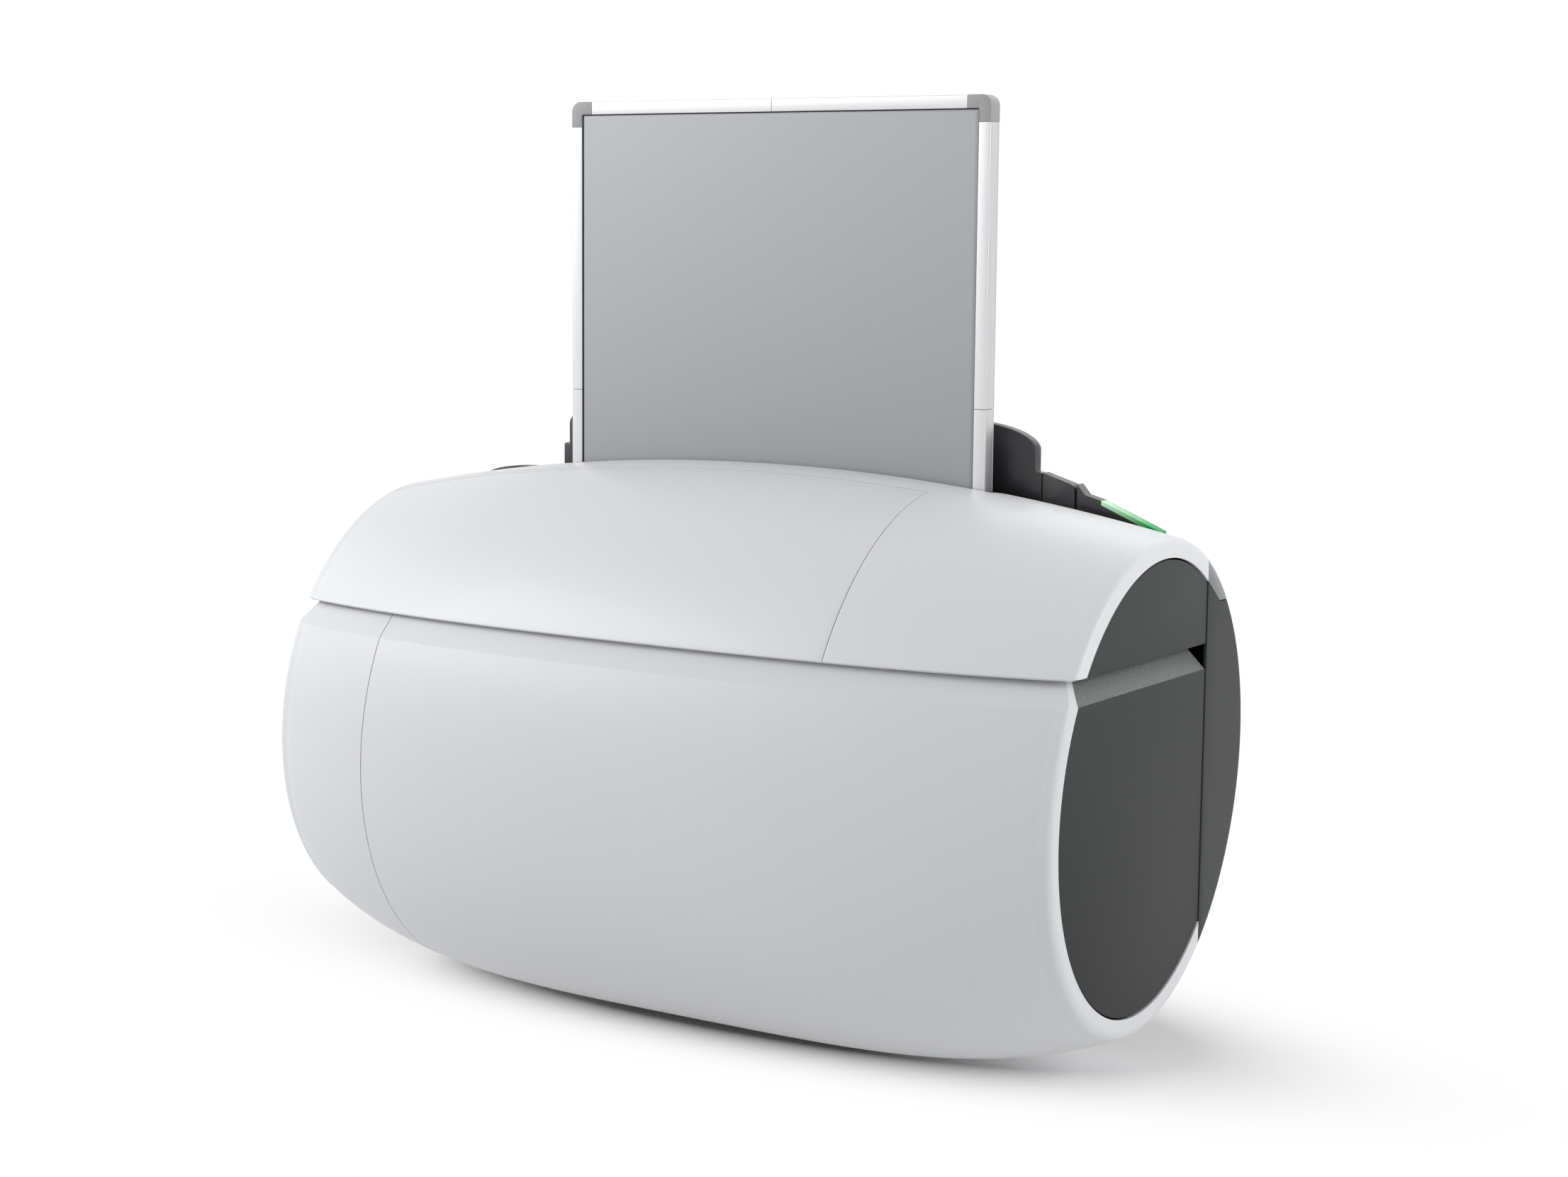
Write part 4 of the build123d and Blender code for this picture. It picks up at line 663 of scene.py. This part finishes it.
class SCANNER_OT_finishes(bpy.types.Operator):
    """Make the materials and put them on every node of the frame"""

    bl_idname = "scanner.finishes"
    bl_label = "Finishes"

    def execute(self, context):
        colours = context.scene.scanner_finishes

        def paint_of(colour):
            return (*(getattr(colours, colour) if isinstance(colour, str) else colour), 1)

        GROUPS["grain"] = finish_group("Mould Grain", ("Grain Scale", "Float", 900.0), grain_pattern)
        GROUPS["brushed"] = finish_group(
            "Brushed Lines", ("Stretch", "Vector", (20.0, 1500.0, 1500.0)), brush_pattern)
        for name, (colour, roughness, change, grain, depth, tone, shading) in MOULDED.items():
            inputs = {"Colour": paint_of(colour), "Tone Change": tone, "Roughness": roughness,
                      "Roughness Change": change, "Grain Scale": grain}
            make_finish(name, "grain", inputs, (MOULDED_BUMP, depth), shading)
        for name, (colour, roughness, stretch, tone) in BRUSHED.items():
            inputs = {"Colour": paint_of(colour), "Tone Change": tone, "Roughness": roughness,
                      "Roughness Change": BRUSHED_CHANGE, "Stretch": stretch}
            make_finish(name, "brushed", inputs, (BRUSHED_BUMP, BRUSHED_DEPTH), {"Metallic": 1.0})
        slots = {row["node"]: row["material_slot"] for row in frame["record"]["subparts"]}
        for name, made in frame["nodes"].items():
            made.data.materials.clear()
            made.data.materials.append(MATERIALS[slots[name]])
        return {"FINISHED"}


# White shells

# The hood's upper edge curls under: drop, and distance from the edge along the skin
HOOD_CURL = (0.0, 0.0042), (0.0001, 0.0030), (0.0004, 0.0018), (0.0009, 0.0007), (0.0012, 0.0)
CURL_LEAN = 0.3
FRONT_TURNS, HOOD_TURNS, TOP_TURNS = 40, 44, 24
DECK_SPACE = 0.30, 0.60
# The deck: distances from the body's ends, place of its front, depth behind the rear seam, and corners
DECK_LEFT, DECK_RIGHT, DECK_FRONT, DECK_BACK, DECK_RADIUS = 0.044, 0.016, 0.048, 0.02, 0.014
# The deck's notch for the cassette
NOTCH_HALF, NOTCH_FRONT, NOTCH_RADIUS = 0.1982, 0.0263, 0.003
# The rims' tails: length behind the rear seam, and their lower edge's heights there and at the tip
TAIL_LENGTH, TAIL_TOP, TAIL_BOTTOM = 0.021, 0.3675, 0.351
BAND_STEPS = 60
FAR = 0.4


def finish_shell(made, sizes, finish, replaced, body="root", smooth=40):
    """Round the edges of a cut shell, smooth it and dress it."""
    round_edges(made, sizes.edge, sharp=50, smooth=smooth)
    return dress(made, finish, body, [replaced])


class SCANNER_OT_front_hood(bpy.types.Operator):
    """Build the white cover over the left and middle of the front"""

    bl_idname = "scanner.front_hood"
    bl_label = "Front hood"

    def execute(self, context):
        sizes = context.scene.scanner_shells
        gap = sizes.seam / 2
        rows = []
        for oval in body_with_rims(sizes, high=sizes.hood_right - gap):
            end = oval.at_depth(sizes.crease - gap)
            row = oval.points(oval.at_height(sizes.seam_height + gap), end, HOOD_TURNS, last=False)
            for drop, along in HOOD_CURL:
                x, y, z = oval.point(end + along / oval.depth)
                row.append((x, y + drop * CURL_LEAN, z - drop))
            rows.append(row)
        made = skin_grid("front_hood_shell", rows, sizes.wall)
        finish_shell(made, sizes, "white_shell", "front_hood", body="hood")
        return {"FINISHED"}


def deck_outline(sizes, grow):
    """Plan of the dark deck, grown by a gap."""
    left, right = DECK_LEFT - sizes.half_length - grow, sizes.half_length - DECK_RIGHT + grow
    front, back, radius = DECK_FRONT - grow, sizes.rear_seam + DECK_BACK, DECK_RADIUS
    notch, notch_front, inner = NOTCH_HALF + grow, NOTCH_FRONT - grow, NOTCH_RADIUS
    return ([(left, back)] + arc(left + radius, front + radius, radius, 180, 270, 8)
            + [(-notch - inner, front)] + arc(-notch + inner, notch_front + inner, inner, 180, 270, 4)
            + arc(notch - inner, notch_front + inner, inner, 270, 360, 4) + [(notch + inner, front)]
            + arc(right - radius, front + radius, radius, 270, 360, 8) + [(right, back)])


class SCANNER_OT_upper_housings(bpy.types.Operator):
    """Build the white shells at the right end and behind the hood at the left end"""

    bl_idname = "scanner.upper_housings"
    bl_label = "Upper housings"

    def top_row(self, sizes, oval):
        """Places on a section from the hood's upper edge to the rear seam."""
        gap = sizes.seam / 2
        return oval.points(oval.at_depth(sizes.crease + gap), oval.at_depth(sizes.rear_seam - gap), TOP_TURNS)

    def right(self, sizes):
        """The right end with its front, and the strip behind the hood."""
        gap = sizes.seam / 2
        edge = section_at(sizes, sizes.hood_right + gap)
        ovals = body_with_rims(sizes, low=sizes.upper_split + gap)
        strip = [self.top_row(sizes, oval) for oval in [o for o in ovals if o.x < edge.x] + [edge]]
        end_rows = []
        for oval in [edge] + [o for o in ovals if o.x >= edge.x]:
            start, middle = oval.at_height(sizes.seam_height + gap), oval.at_depth(sizes.crease + gap)
            end_rows.append(oval.points(start, middle, FRONT_TURNS, last=False) + self.top_row(sizes, oval))
        made = join("upper_right_shell", [skin_grid("strip", strip), skin_grid("end", end_rows)])
        with_mesh(made, lambda work: bmesh.ops.remove_doubles(work, verts=work.verts, dist=2e-5))
        return thicken(made, sizes.wall)

    def left(self, sizes):
        """The left end behind the hood."""
        ovals = body_with_rims(sizes, high=sizes.upper_split - sizes.seam / 2)
        return skin_grid("upper_left_shell", [self.top_row(sizes, oval) for oval in ovals], sizes.wall)

    def tail(self, sizes, side):
        """The rim's tapering end behind the rear seam."""
        made = cut(body_solid(sizes, 0.0), body_solid(sizes, sizes.wall))
        low, tip, back, top = sizes.rear_seam - sizes.seam / 2, sizes.rear_seam + TAIL_LENGTH, 0.3, 0.6
        outline = [(low, TAIL_TOP), (tip, TAIL_BOTTOM), (back, TAIL_BOTTOM), (back, top), (low, top)]
        ends = side * (sizes.half_length - 2 * sizes.rim), side * HOLE_ENDS[1]
        cut(made, prism("tail_space", outline, "X", *ends), "INTERSECT")
        return cap_hole(made, sizes, side)

    def execute(self, context):
        sizes = context.scene.scanner_shells
        for side, name, build in ((1, "upper_right", self.right), (-1, "upper_left", self.left)):
            made = build(sizes)
            cut(made, prism("deck_space", deck_outline(sizes, sizes.seam), "Z", *DECK_SPACE), solver="EXACT")
            finish_shell(made, sizes, "white_shell", name + "_housing")
            tail = self.tail(sizes, side)
            tail.name = name + "_tail"
            # The tail is white housing turned away from the light; its grey finish is painted shade
            finish_shell(tail, sizes, "tail_grey", name + "_housing")
        return {"FINISHED"}


class SCANNER_OT_lower_panels(bpy.types.Operator):
    """Build the lower white shells, with the sloped band under the long seam"""

    bl_idname = "scanner.lower_panels"
    bl_label = "Lower panels"

    def band_space(self, sizes, inset):
        """What the sloped band leaves of the body, drawn in by an inset."""
        high = sizes.slope_height
        low = sizes.seam_height - high
        rings = []
        for steps, place in ((-5, -0.05), (-5, low - 1.001 * high), (-1, low - high), (0, low), (1, low + high),
                             (1.5, low + 1.5 * high)):
            half = sizes.half_length - inset - steps * sizes.slope_end
            height = low + steps * high
            ring = []
            for i in range(BAND_STEPS + 1):
                x = half * (i / BAND_STEPS * 2 - 1)
                ring.append((x, front_of_slope(sizes, x * (half + inset) / half, height) + inset, place))
            rings.append(ring + [(half, FAR, place), (-half, FAR, place)])
        return closed_rings("band_space", rings)

    def execute(self, context):
        sizes = context.scene.scanner_shells
        gap = sizes.seam / 2
        whole, hollow = [cut(body_solid(sizes, inset), self.band_space(sizes, inset), "INTERSECT")
                         for inset in (0.0, sizes.wall)]
        cut(whole, hollow)
        for side in (-1, 1):
            cap_hole(whole, sizes, side)
        copied = link_object("lower_left_shell", whole.data.copy())
        top, back, bottom = sizes.seam_height - gap, sizes.rear_seam - gap, -0.04
        for made, name, left, right in ((whole, "lower_front", sizes.lower_split + gap, FAR),
                                        (copied, "lower_left", -FAR, sizes.lower_split - gap)):
            cut(made, box_mesh("keep", (left, -FAR, bottom), (right, back, top)), "INTERSECT")
            made.name = name + "_shell"
            finish_shell(made, sizes, "lower_shell", name + "_panel", smooth=13)
        return {"FINISHED"}


# Dark pieces


def copy_node(name, width, sharp=38):
    """A copy of a node's mesh, merged, with its flat faces whole and its edges rounded."""
    made = link_object(name + "_shape", frame["nodes"][name].data.copy())

    def merge(work):
        bmesh.ops.remove_doubles(work, verts=work.verts, dist=1e-6)
        bmesh.ops.dissolve_limit(work, angle_limit=math.radians(0.05), verts=work.verts, edges=work.edges)

    with_mesh(made, merge)
    return round_edges(made, width, sharp=sharp, smooth=32)


# Node, finish and rounding of its edges
COPIES = (
    ("end_cap_upper_right", "cap_dark", 0.0005), ("end_cap_lower_right", "cap_dark", 0.0005),
    ("end_cap_upper_left", "cap_dark", 0.0005), ("end_cap_lower_left", "cap_dark", 0.0005),
    ("top_deck", "deck_dark", 0.0005), ("cassette_support", "deck_dark", 0.0015),
    ("slot_end_blocks", "deck_dark", 0.0012), ("status_console", "deck_dark", 0.0010),
    ("status_lens", "green_lens", 0.0008), ("rear_housing", "rear_dark", 0.0005),
)


class SCANNER_OT_dark_pieces(bpy.types.Operator):
    """Build the dark plates, the deck and what stands on it"""

    bl_idname = "scanner.dark_pieces"
    bl_label = "Dark pieces"

    def execute(self, context):
        sizes = context.scene.scanner_shells
        centre = Vector((0, sizes.end_shift + sizes.cap_shift, sizes.end_level))
        tight = Matrix.Translation(centre) @ Matrix.Diagonal((1, sizes.cap_fit, sizes.cap_fit, 1))
        for name, finish, width in COPIES:
            made = copy_node(name, width)
            if finish == "cap_dark":
                made.data.transform(tight @ Matrix.Translation(-centre))
            dress(made, finish, replaces=[name])
        return {"FINISHED"}


# Repeated small parts


def repeat_group():
    """Copies of a piece in rows and columns, with a little disorder."""
    tree, inside = new_group(
        "Repeat In Rows", "GeometryNodeTree",
        [("Piece", "Object", None), ("Columns", "Int", 4), ("Rows", "Int", 1), ("Start", "Vector", (0, 0, 0)),
         ("Column Step", "Vector", (0.01, 0, 0)), ("Row Step", "Vector", (0, 0, 0.01)),
         ("Disorder", "Vector", (0, 0, 0)), ("Size Change", "Float", 0.0), ("Seed", "Int", 7),
         ("Material", "Material", None)],
        [("Geometry", "Geometry")])
    index = node(tree, "GeometryNodeInputIndex").outputs[0]
    column = number(tree, "MODULO", index, inside["Columns"])
    row = number(tree, "FLOOR", number(tree, "DIVIDE", index, inside["Columns"]))
    stray = node(tree, "FunctionNodeRandomValue",
                 {0: scaled(tree, inside["Disorder"], -1.0), 1: inside["Disorder"], "Seed": inside["Seed"]},
                 data_type="FLOAT_VECTOR")
    place = inside["Start"]
    for offset in (scaled(tree, inside["Column Step"], column), scaled(tree, inside["Row Step"], row),
                   stray.outputs[0]):
        place = node(tree, "ShaderNodeVectorMath", {0: place, 1: offset}, operation="ADD").outputs[0]
    count = number(tree, "MULTIPLY", inside["Columns"], inside["Rows"])
    points = node(tree, "GeometryNodePoints", {"Count": count, "Position": place})
    size = node(tree, "FunctionNodeRandomValue",
                {2: number(tree, "SUBTRACT", 1.0, inside["Size Change"]),
                 3: number(tree, "ADD", 1.0, inside["Size Change"]),
                 "Seed": number(tree, "ADD", inside["Seed"], 1.0)})
    source = node(tree, "GeometryNodeObjectInfo", {"Object": inside["Piece"]})
    copies = node(tree, "GeometryNodeInstanceOnPoints",
                  {"Points": points.outputs[0], "Instance": source.outputs["Geometry"],
                   "Scale": size.outputs[1]})
    real = node(tree, "GeometryNodeRealizeInstances", {0: copies.outputs[0]})
    finish = node(tree, "GeometryNodeSetMaterial",
                  {"Geometry": real.outputs[0], "Material": inside["Material"]})
    node(tree, "NodeGroupOutput", {"Geometry": finish.outputs[0]})
    return tree


def repeat(name, piece, finish, **inputs):
    """Copies of a piece as one object, and the piece deleted."""
    made = mesh_object(name, [(0, 0, 0)], [])
    spread = made.modifiers.new("repeat", "NODES")
    spread.node_group = GROUPS["repeat"]
    inputs.update(piece=piece, material=MATERIALS[finish])
    for item in GROUPS["repeat"].interface.items_tree:
        key = item.name.lower().replace(" ", "_")
        if item.in_out == "INPUT" and key in inputs:
            spread[item.identifier] = inputs[key]
    settle(made)
    bpy.data.objects.remove(piece)
    return made


def small_box(name, depth, width, height, rounding):
    """A box with rounded edges round the origin."""
    made = box_mesh(name, (-depth / 2, -width / 2, -height / 2), (depth / 2, width / 2, height / 2))
    return round_edges(made, rounding)


def small_round(name, axis, radius, low, high, rounding=0.0, sides=16):
    """A round bar along an axis through the origin."""
    turns = [2 * math.pi * i / sides for i in range(sides)]
    outline = [(radius * math.cos(t), radius * math.sin(t)) for t in turns]
    return round_edges(prism(name, outline, axis, low, high), rounding, smooth=50)


class SCANNER_OT_small_parts(bpy.types.Operator):
    """Build the small parts that repeat: lamp diodes, board parts and the fan's dust screen"""

    bl_idname = "scanner.small_parts"
    bl_label = "Small parts"

    def lamp_diodes(self):
        """A row of diodes on the erase lamp."""
        low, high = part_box("erase_lamp")
        diode = small_box("diode", 0.0034, 0.0010, 0.0034, 0.0003)
        start = -0.1938, low.y + 0.0027, (low.z + high.z) / 2
        made = repeat("lamp_diodes", diode, "diode", columns=39, start=start, column_step=(0.0102, 0.0, 0.0))
        dress(made, "diode")

    def board_parts(self):
        """Chips, resistors and cans on the main board."""
        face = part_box("main_board")[0].x + 0.006
        chip = small_box("chip", 0.0014, 0.0070, 0.0050, 0.0002)
        chips = repeat("board_chips", chip, "switch_black", columns=12, start=(face - 0.0004, -0.083, 0.2455),
                       column_step=(0.0, 0.0115, 0.0), disorder=(0.0, 0.0012, 0.0006), seed=11)
        tiny = small_box("tiny", 0.0008, 0.0020, 0.0012, 0.0001)
        tinies = repeat("board_resistors", tiny, "switch_black", columns=21, rows=6,
                        start=(face - 0.0002, -0.082, 0.106), column_step=(0.0, 0.006, 0.0),
                        row_step=(0.0, 0.0, 0.0055), disorder=(0.0, 0.0014, 0.0010), size_change=0.15, seed=5)
        dress(join("board_parts", [chips, tinies]), "switch_black")
        can = small_round("can", "X", 0.0031, -0.0085, 0.0004, rounding=0.0004)
        cans = repeat("board_cans", can, "port_metal", columns=11, start=(face, -0.080, 0.262),
                      column_step=(0.0, 0.0115, 0.0), disorder=(0.0, 0.0010, 0.0020), size_change=0.08, seed=3)
        dress(cans, "port_metal")

    def dust_screen(self):
        """Two crossed layers of wires behind the fan."""
        low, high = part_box("fan_frame")
        margin, radius, gap, count = 0.0017, 0.0003, 0.0028, 27
        middle, half = (low + high) / 2, (high.x - low.x) / 2 - margin
        wires = []
        for axis, step, behind in (("Z", (gap, 0.0, 0.0), 0.0010), ("X", (0.0, 0.0, gap), 0.0016)):
            wire = small_round("wire", axis, radius, -half, half, sides=8)
            first = middle - Vector(step) * (count // 2)
            wires.append(repeat("screen_wires", wire, "steel_bar", columns=count,
                                start=(first.x, high.y + behind, first.z), column_step=step))
        dress(join("dust_screen", wires), "steel_bar")

    def execute(self, context):
        GROUPS["repeat"] = repeat_group()
        self.lamp_diodes()
        self.board_parts()
        self.dust_screen()
        return {"FINISHED"}


# Cassette

RAIL_SPLIT = 0.00015
SLOT_REACH = 0.015


def rail_outline(sizes):
    """Outline of a rail: across from its outer side, and back from its front."""
    set_in, groove, deep, at = 0.00015, 0.00045, 0.0004, 0.0013
    outer, outer_at, inner, inner_at = 0.0007, 0.0008, 0.0004, 0.0005
    wide, depth = sizes.rail, sizes.depth
    return (arc(set_in + outer, outer_at, outer, 270, 180, 5)
            + [(set_in, at), (set_in + deep, at), (set_in + deep, at + groove), (set_in, at + groove),
               (set_in, depth - at - groove), (set_in + deep, depth - at - groove),
               (set_in + deep, depth - at), (set_in, depth - at)]
            + arc(set_in + outer, depth - outer_at, outer, 180, 90, 5)
            + arc(wide - inner, depth - inner_at, inner, 90, 0, 3)
            + arc(wide - inner, inner_at, inner, 0, -90, 3))


class SCANNER_OT_cassette(bpy.types.Operator):
    """Build the cassette's rails, corners and panels, and a black ring of painted shade in the panels' gaps"""

    bl_idname = "scanner.cassette"
    bl_label = "Cassette"

    def rails(self, sizes, axis, edge, side, low, high):
        """The two pieces of the rail along one edge, between two corners."""
        outline = [(edge - side * u, sizes.front + v) for u, v in rail_outline(sizes)]
        if axis == "X":
            outline = [(b, a) for a, b in outline]
        middle = (low + high) / 2
        low, high = low + sizes.corner, high - sizes.corner
        return [prism("rail", outline, axis, low, middle - RAIL_SPLIT),
                prism("rail", outline, axis, middle + RAIL_SPLIT, high)]

    def corner(self, sizes, side, up):
        """One corner cap."""
        half, arm, wide, round_off, fillet = sizes.width / 2, sizes.corner, sizes.rail, sizes.corner_radius, 0.0012
        tall = sizes.height / 2
        outline = arc(half - round_off, tall - round_off, round_off, 0, 90, 10)
        outline += [(half - arm, tall), (half - arm, tall - wide)]
        outline += arc(half - wide - fillet, tall - wide - fillet, fillet, 90, 0, 4)
        outline += [(half - wide, tall - arm), (half, tall - arm)]
        outline = [(side * a, sizes.bottom + tall + up * b) for a, b in outline]
        return prism("corner", outline, "Y", sizes.front, sizes.front + sizes.depth)

    def plate_slot(self, made, sizes):
        """Cut the slot through which the plate leaves the cassette downwards."""
        middle = sizes.front + sizes.depth / 2
        low = (-sizes.slot / 2, middle - sizes.depth / 6, sizes.bottom - SLOT_REACH)
        high = (sizes.slot / 2, middle + sizes.depth / 6, sizes.bottom + SLOT_REACH)
        return cut(made, box_mesh("slot", low, high))

    def seal(self, low, high, face, inward):
        """Painted shade: a thin black ring in the gap between a panel and its rails, where the gap lies in shade.
        """
        inner, outer, near, far = 0.0001, 0.0006, 0.0012, 0.0022
        front, back = sorted((face + inward * near, face + inward * far))
        ring, space = [box_mesh("seal", (low.x - grow, front - past, low.z - grow),
                                (high.x + grow, back + past, high.z + grow))
                       for grow, past in ((outer, 0.0), (inner, outer))]
        return cut(ring, space)

    def execute(self, context):
        sizes = context.scene.scanner_cassette
        half, top = sizes.width / 2, sizes.bottom + sizes.height
        uprights, levels = [], []
        for side, level in ((-1, sizes.bottom), (1, top)):
            uprights += self.rails(sizes, "Z", side * half, side, sizes.bottom, top)
            levels += self.rails(sizes, "X", level, side, -half, half)
        corners = [self.corner(sizes, side, up) for side in (-1, 1) for up in (-1, 1)]
        for name, parts, finish, slot, width, segments, sharp, smooth in (
                ("upright_rails", uprights, "rail", "rail", 0.00012, 1, 60, 30),
                ("level_rails", levels, "rail_across", "rail", 0.00012, 1, 60, 30),
                ("corner_caps", corners, "corner", "corner", 0.0007, 3, 50, 35)):
            made = join(name, parts)
            if name != "upright_rails":
                self.plate_slot(made, sizes)
            round_edges(made, width, segments, sharp, smooth)
            dress(made, finish, "cassette", ["cassette_corners" if slot == "corner" else "cassette_rails"])
        for name in ("cassette_front_panel", "cassette_back_panel"):
            dress(copy_node(name, 0.0003, sharp=12), "cassette_panel", "cassette", [name])
        low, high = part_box("cassette_front_panel")
        # Black rings of painted shade in the gaps round both panels
        gap_shades = [self.seal(low, high, sizes.front, 1), self.seal(low, high, sizes.front + sizes.depth, -1)]
        dress(join("panel_seals", gap_shades), "seal_black", "cassette")
        return {"FINISHED"}


# Stage

# Name, place, height aimed at, width and height, watts
LAMPS = (
    ("near_left", (-1.3, -1.1, 1.3), 0.35, (0.9, 0.9), 15.5),
    ("left_side", (-1.8, -0.3, 0.9), 0.3, (1.0, 1.0), 3.5),
    ("right", (2.6, 0.4, 1.25), 0.3, (1.6, 1.4), 27),
    ("back_top", (0.2, 1.9, 2.0), 0.3, (2.0, 1.2), 14),
)
# The shadow's oval on the floor: its middle, its two radii, and its soft edge as shares of them
SHADOW_MIDDLE, SHADOW_RADII, SHADOW_EDGE, SHADOW_POWER = (-0.03, 0.10), (0.34, 0.125), (1.08, 2.05), 3.0
# The photograph's camera: place, turns in degrees, focal length and width in pixels, sensor in millimetres
CAMERA_PLACE, CAMERA_TURNS = (1.17142, -1.75997, 0.62512), (32.887, 7.581, 0.5217)
FOCAL, PHOTO_WIDTH, SENSOR_WIDTH = 3881.87, 2212, 36.0


class SCANNER_OT_stage(bpy.types.Operator):
    """Set the floor, the lights, the world and the camera"""

    bl_idname = "scanner.stage"
    bl_label = "Stage"

    def floor(self):
        """A white floor that takes shadow only near the body."""
        made = mesh_object("floor", [(-9, -6, 0), (9, -6, 0), (9, 12, 0), (-9, 12, 0)], [(0, 1, 2, 3)])
        made.location.z = -0.0002
        made.data.materials.append(bpy.data.materials.new("floor_white"))
        tree = empty_tree(made.data.materials[0])
        plain = node(tree, "ShaderNodeBsdfDiffuse", {"Color": (0.86, 0.86, 0.86, 1)})
        bright = node(tree, "ShaderNodeEmission", {"Color": (1, 1, 1, 1), "Strength": 1.0})
        where = node(tree, "ShaderNodeTexCoord").outputs["Object"]
        (x, y), (wide, deep) = SHADOW_MIDDLE, SHADOW_RADII
        squeezed = node(tree, "ShaderNodeMapping", {"Vector": where, "Location": (-x / wide, -y / deep, 0.0),
                                                    "Scale": (1 / wide, 1 / deep, 1.0)}).outputs[0]
        away = node(tree, "ShaderNodeVectorMath", {0: squeezed}, operation="LENGTH").outputs["Value"]
        near = number(tree, "POWER", ranged(tree, away, *SHADOW_EDGE, 1.0, 0.0), SHADOW_POWER)
        seen = seen_by(tree, "Is Camera Ray", "Is Glossy Ray")
        share = number(tree, "MULTIPLY", seen, number(tree, "SUBTRACT", 1.0, near))
        mixed_shader(tree, "ShaderNodeOutputMaterial", share, plain, bright)

    def world(self):
        """Soft light all round, seen as plain white."""
        bpy.context.scene.world = bpy.data.worlds.new("studio")
        tree = empty_tree(bpy.context.scene.world)
        light = node(tree, "ShaderNodeBackground", {"Color": (0.97, 0.98, 1.0, 1), "Strength": 0.51})
        white = node(tree, "ShaderNodeBackground", {"Color": (1, 1, 1, 1), "Strength": 1.0})
        seen = seen_by(tree, "Is Camera Ray", "Is Glossy Ray", "Is Transmission Ray")
        mixed_shader(tree, "ShaderNodeOutputWorld", seen, light, white)

    def lamp(self, name, place, aim, size, watts):
        """A soft box that looks at a height over the middle."""
        data = bpy.data.lights.new(name, "AREA")
        data.shape = "RECTANGLE"
        data.size, data.size_y = size
        data.energy = watts
        made = link_object(name, data)
        made.location = place
        made.rotation_mode = "QUATERNION"
        made.rotation_quaternion = (Vector((0, 0, aim)) - Vector(place)).to_track_quat("-Z", "Y")

    def camera(self):
        """The photograph's camera."""
        turn, pitch, roll = [math.radians(angle) for angle in CAMERA_TURNS]
        ahead = Vector((-math.sin(turn) * math.cos(pitch), math.cos(turn) * math.cos(pitch),
                        -math.sin(pitch)))
        right = Vector((math.cos(turn), math.sin(turn), 0))
        down = ahead.cross(right)
        side = right * math.cos(roll) - down * math.sin(roll)
        fall = right * math.sin(roll) + down * math.cos(roll)
        data = bpy.data.cameras.new("camera")
        data.sensor_width = SENSOR_WIDTH
        data.lens = FOCAL / PHOTO_WIDTH * SENSOR_WIDTH
        data.clip_start, data.clip_end = 0.05, 60
        made = link_object("camera", data)
        turned = Matrix((side, -fall, -ahead)).transposed().to_4x4()
        made.matrix_world = Matrix.Translation(CAMERA_PLACE) @ turned
        bpy.context.scene.camera = made

    def execute(self, context):
        self.floor()
        self.world()
        for lamp in LAMPS:
            self.lamp(*lamp)
        self.camera()
        context.scene.view_settings.view_transform = "Standard"
        return {"FINISHED"}


class SCANNER_PT_panel(bpy.types.Panel):
    """The scanner's sizes and steps"""

    bl_idname = "SCANNER_PT_panel"
    bl_label = "Scanner"
    bl_space_type = "VIEW_3D"
    bl_region_type = "UI"
    bl_category = "Scanner"

    def draw(self, context):
        for setting in SETTINGS:
            group = getattr(context.scene, setting)
            box = self.layout.box()
            for name in group.bl_rna.properties.keys():
                if name not in ("rna_type", "name"):
                    box.prop(group, name)
        for name in STEPS:
            self.layout.operator("scanner." + name)


STEPS = ("finishes", "front_hood", "upper_housings", "lower_panels", "dark_pieces", "cassette", "small_parts",
         "stage")
SETTINGS = {"scanner_shells": ShellSizes, "scanner_cassette": CassetteSizes, "scanner_finishes": Finishes}
CLASSES = (
    *SETTINGS.values(),
    SCANNER_OT_finishes,
    SCANNER_OT_front_hood,
    SCANNER_OT_upper_housings,
    SCANNER_OT_lower_panels,
    SCANNER_OT_dark_pieces,
    SCANNER_OT_cassette,
    SCANNER_OT_small_parts,
    SCANNER_OT_stage,
    SCANNER_PT_panel,
)


def register():
    """Register the classes and the scene's settings."""
    for kind in CLASSES:
        bpy.utils.register_class(kind)
    for name, kind in SETTINGS.items():
        setattr(bpy.types.Scene, name, bpy.props.PointerProperty(type=kind))


def unregister():
    """Remove the settings and the classes."""
    for name in SETTINGS:
        delattr(bpy.types.Scene, name)
    for kind in reversed(CLASSES):
        bpy.utils.unregister_class(kind)


def main():
    """Register the add-on's classes and build every piece."""
    register()
    for name in STEPS:
        getattr(bpy.ops.scanner, name)()


if __name__ == "__main__":
    main()
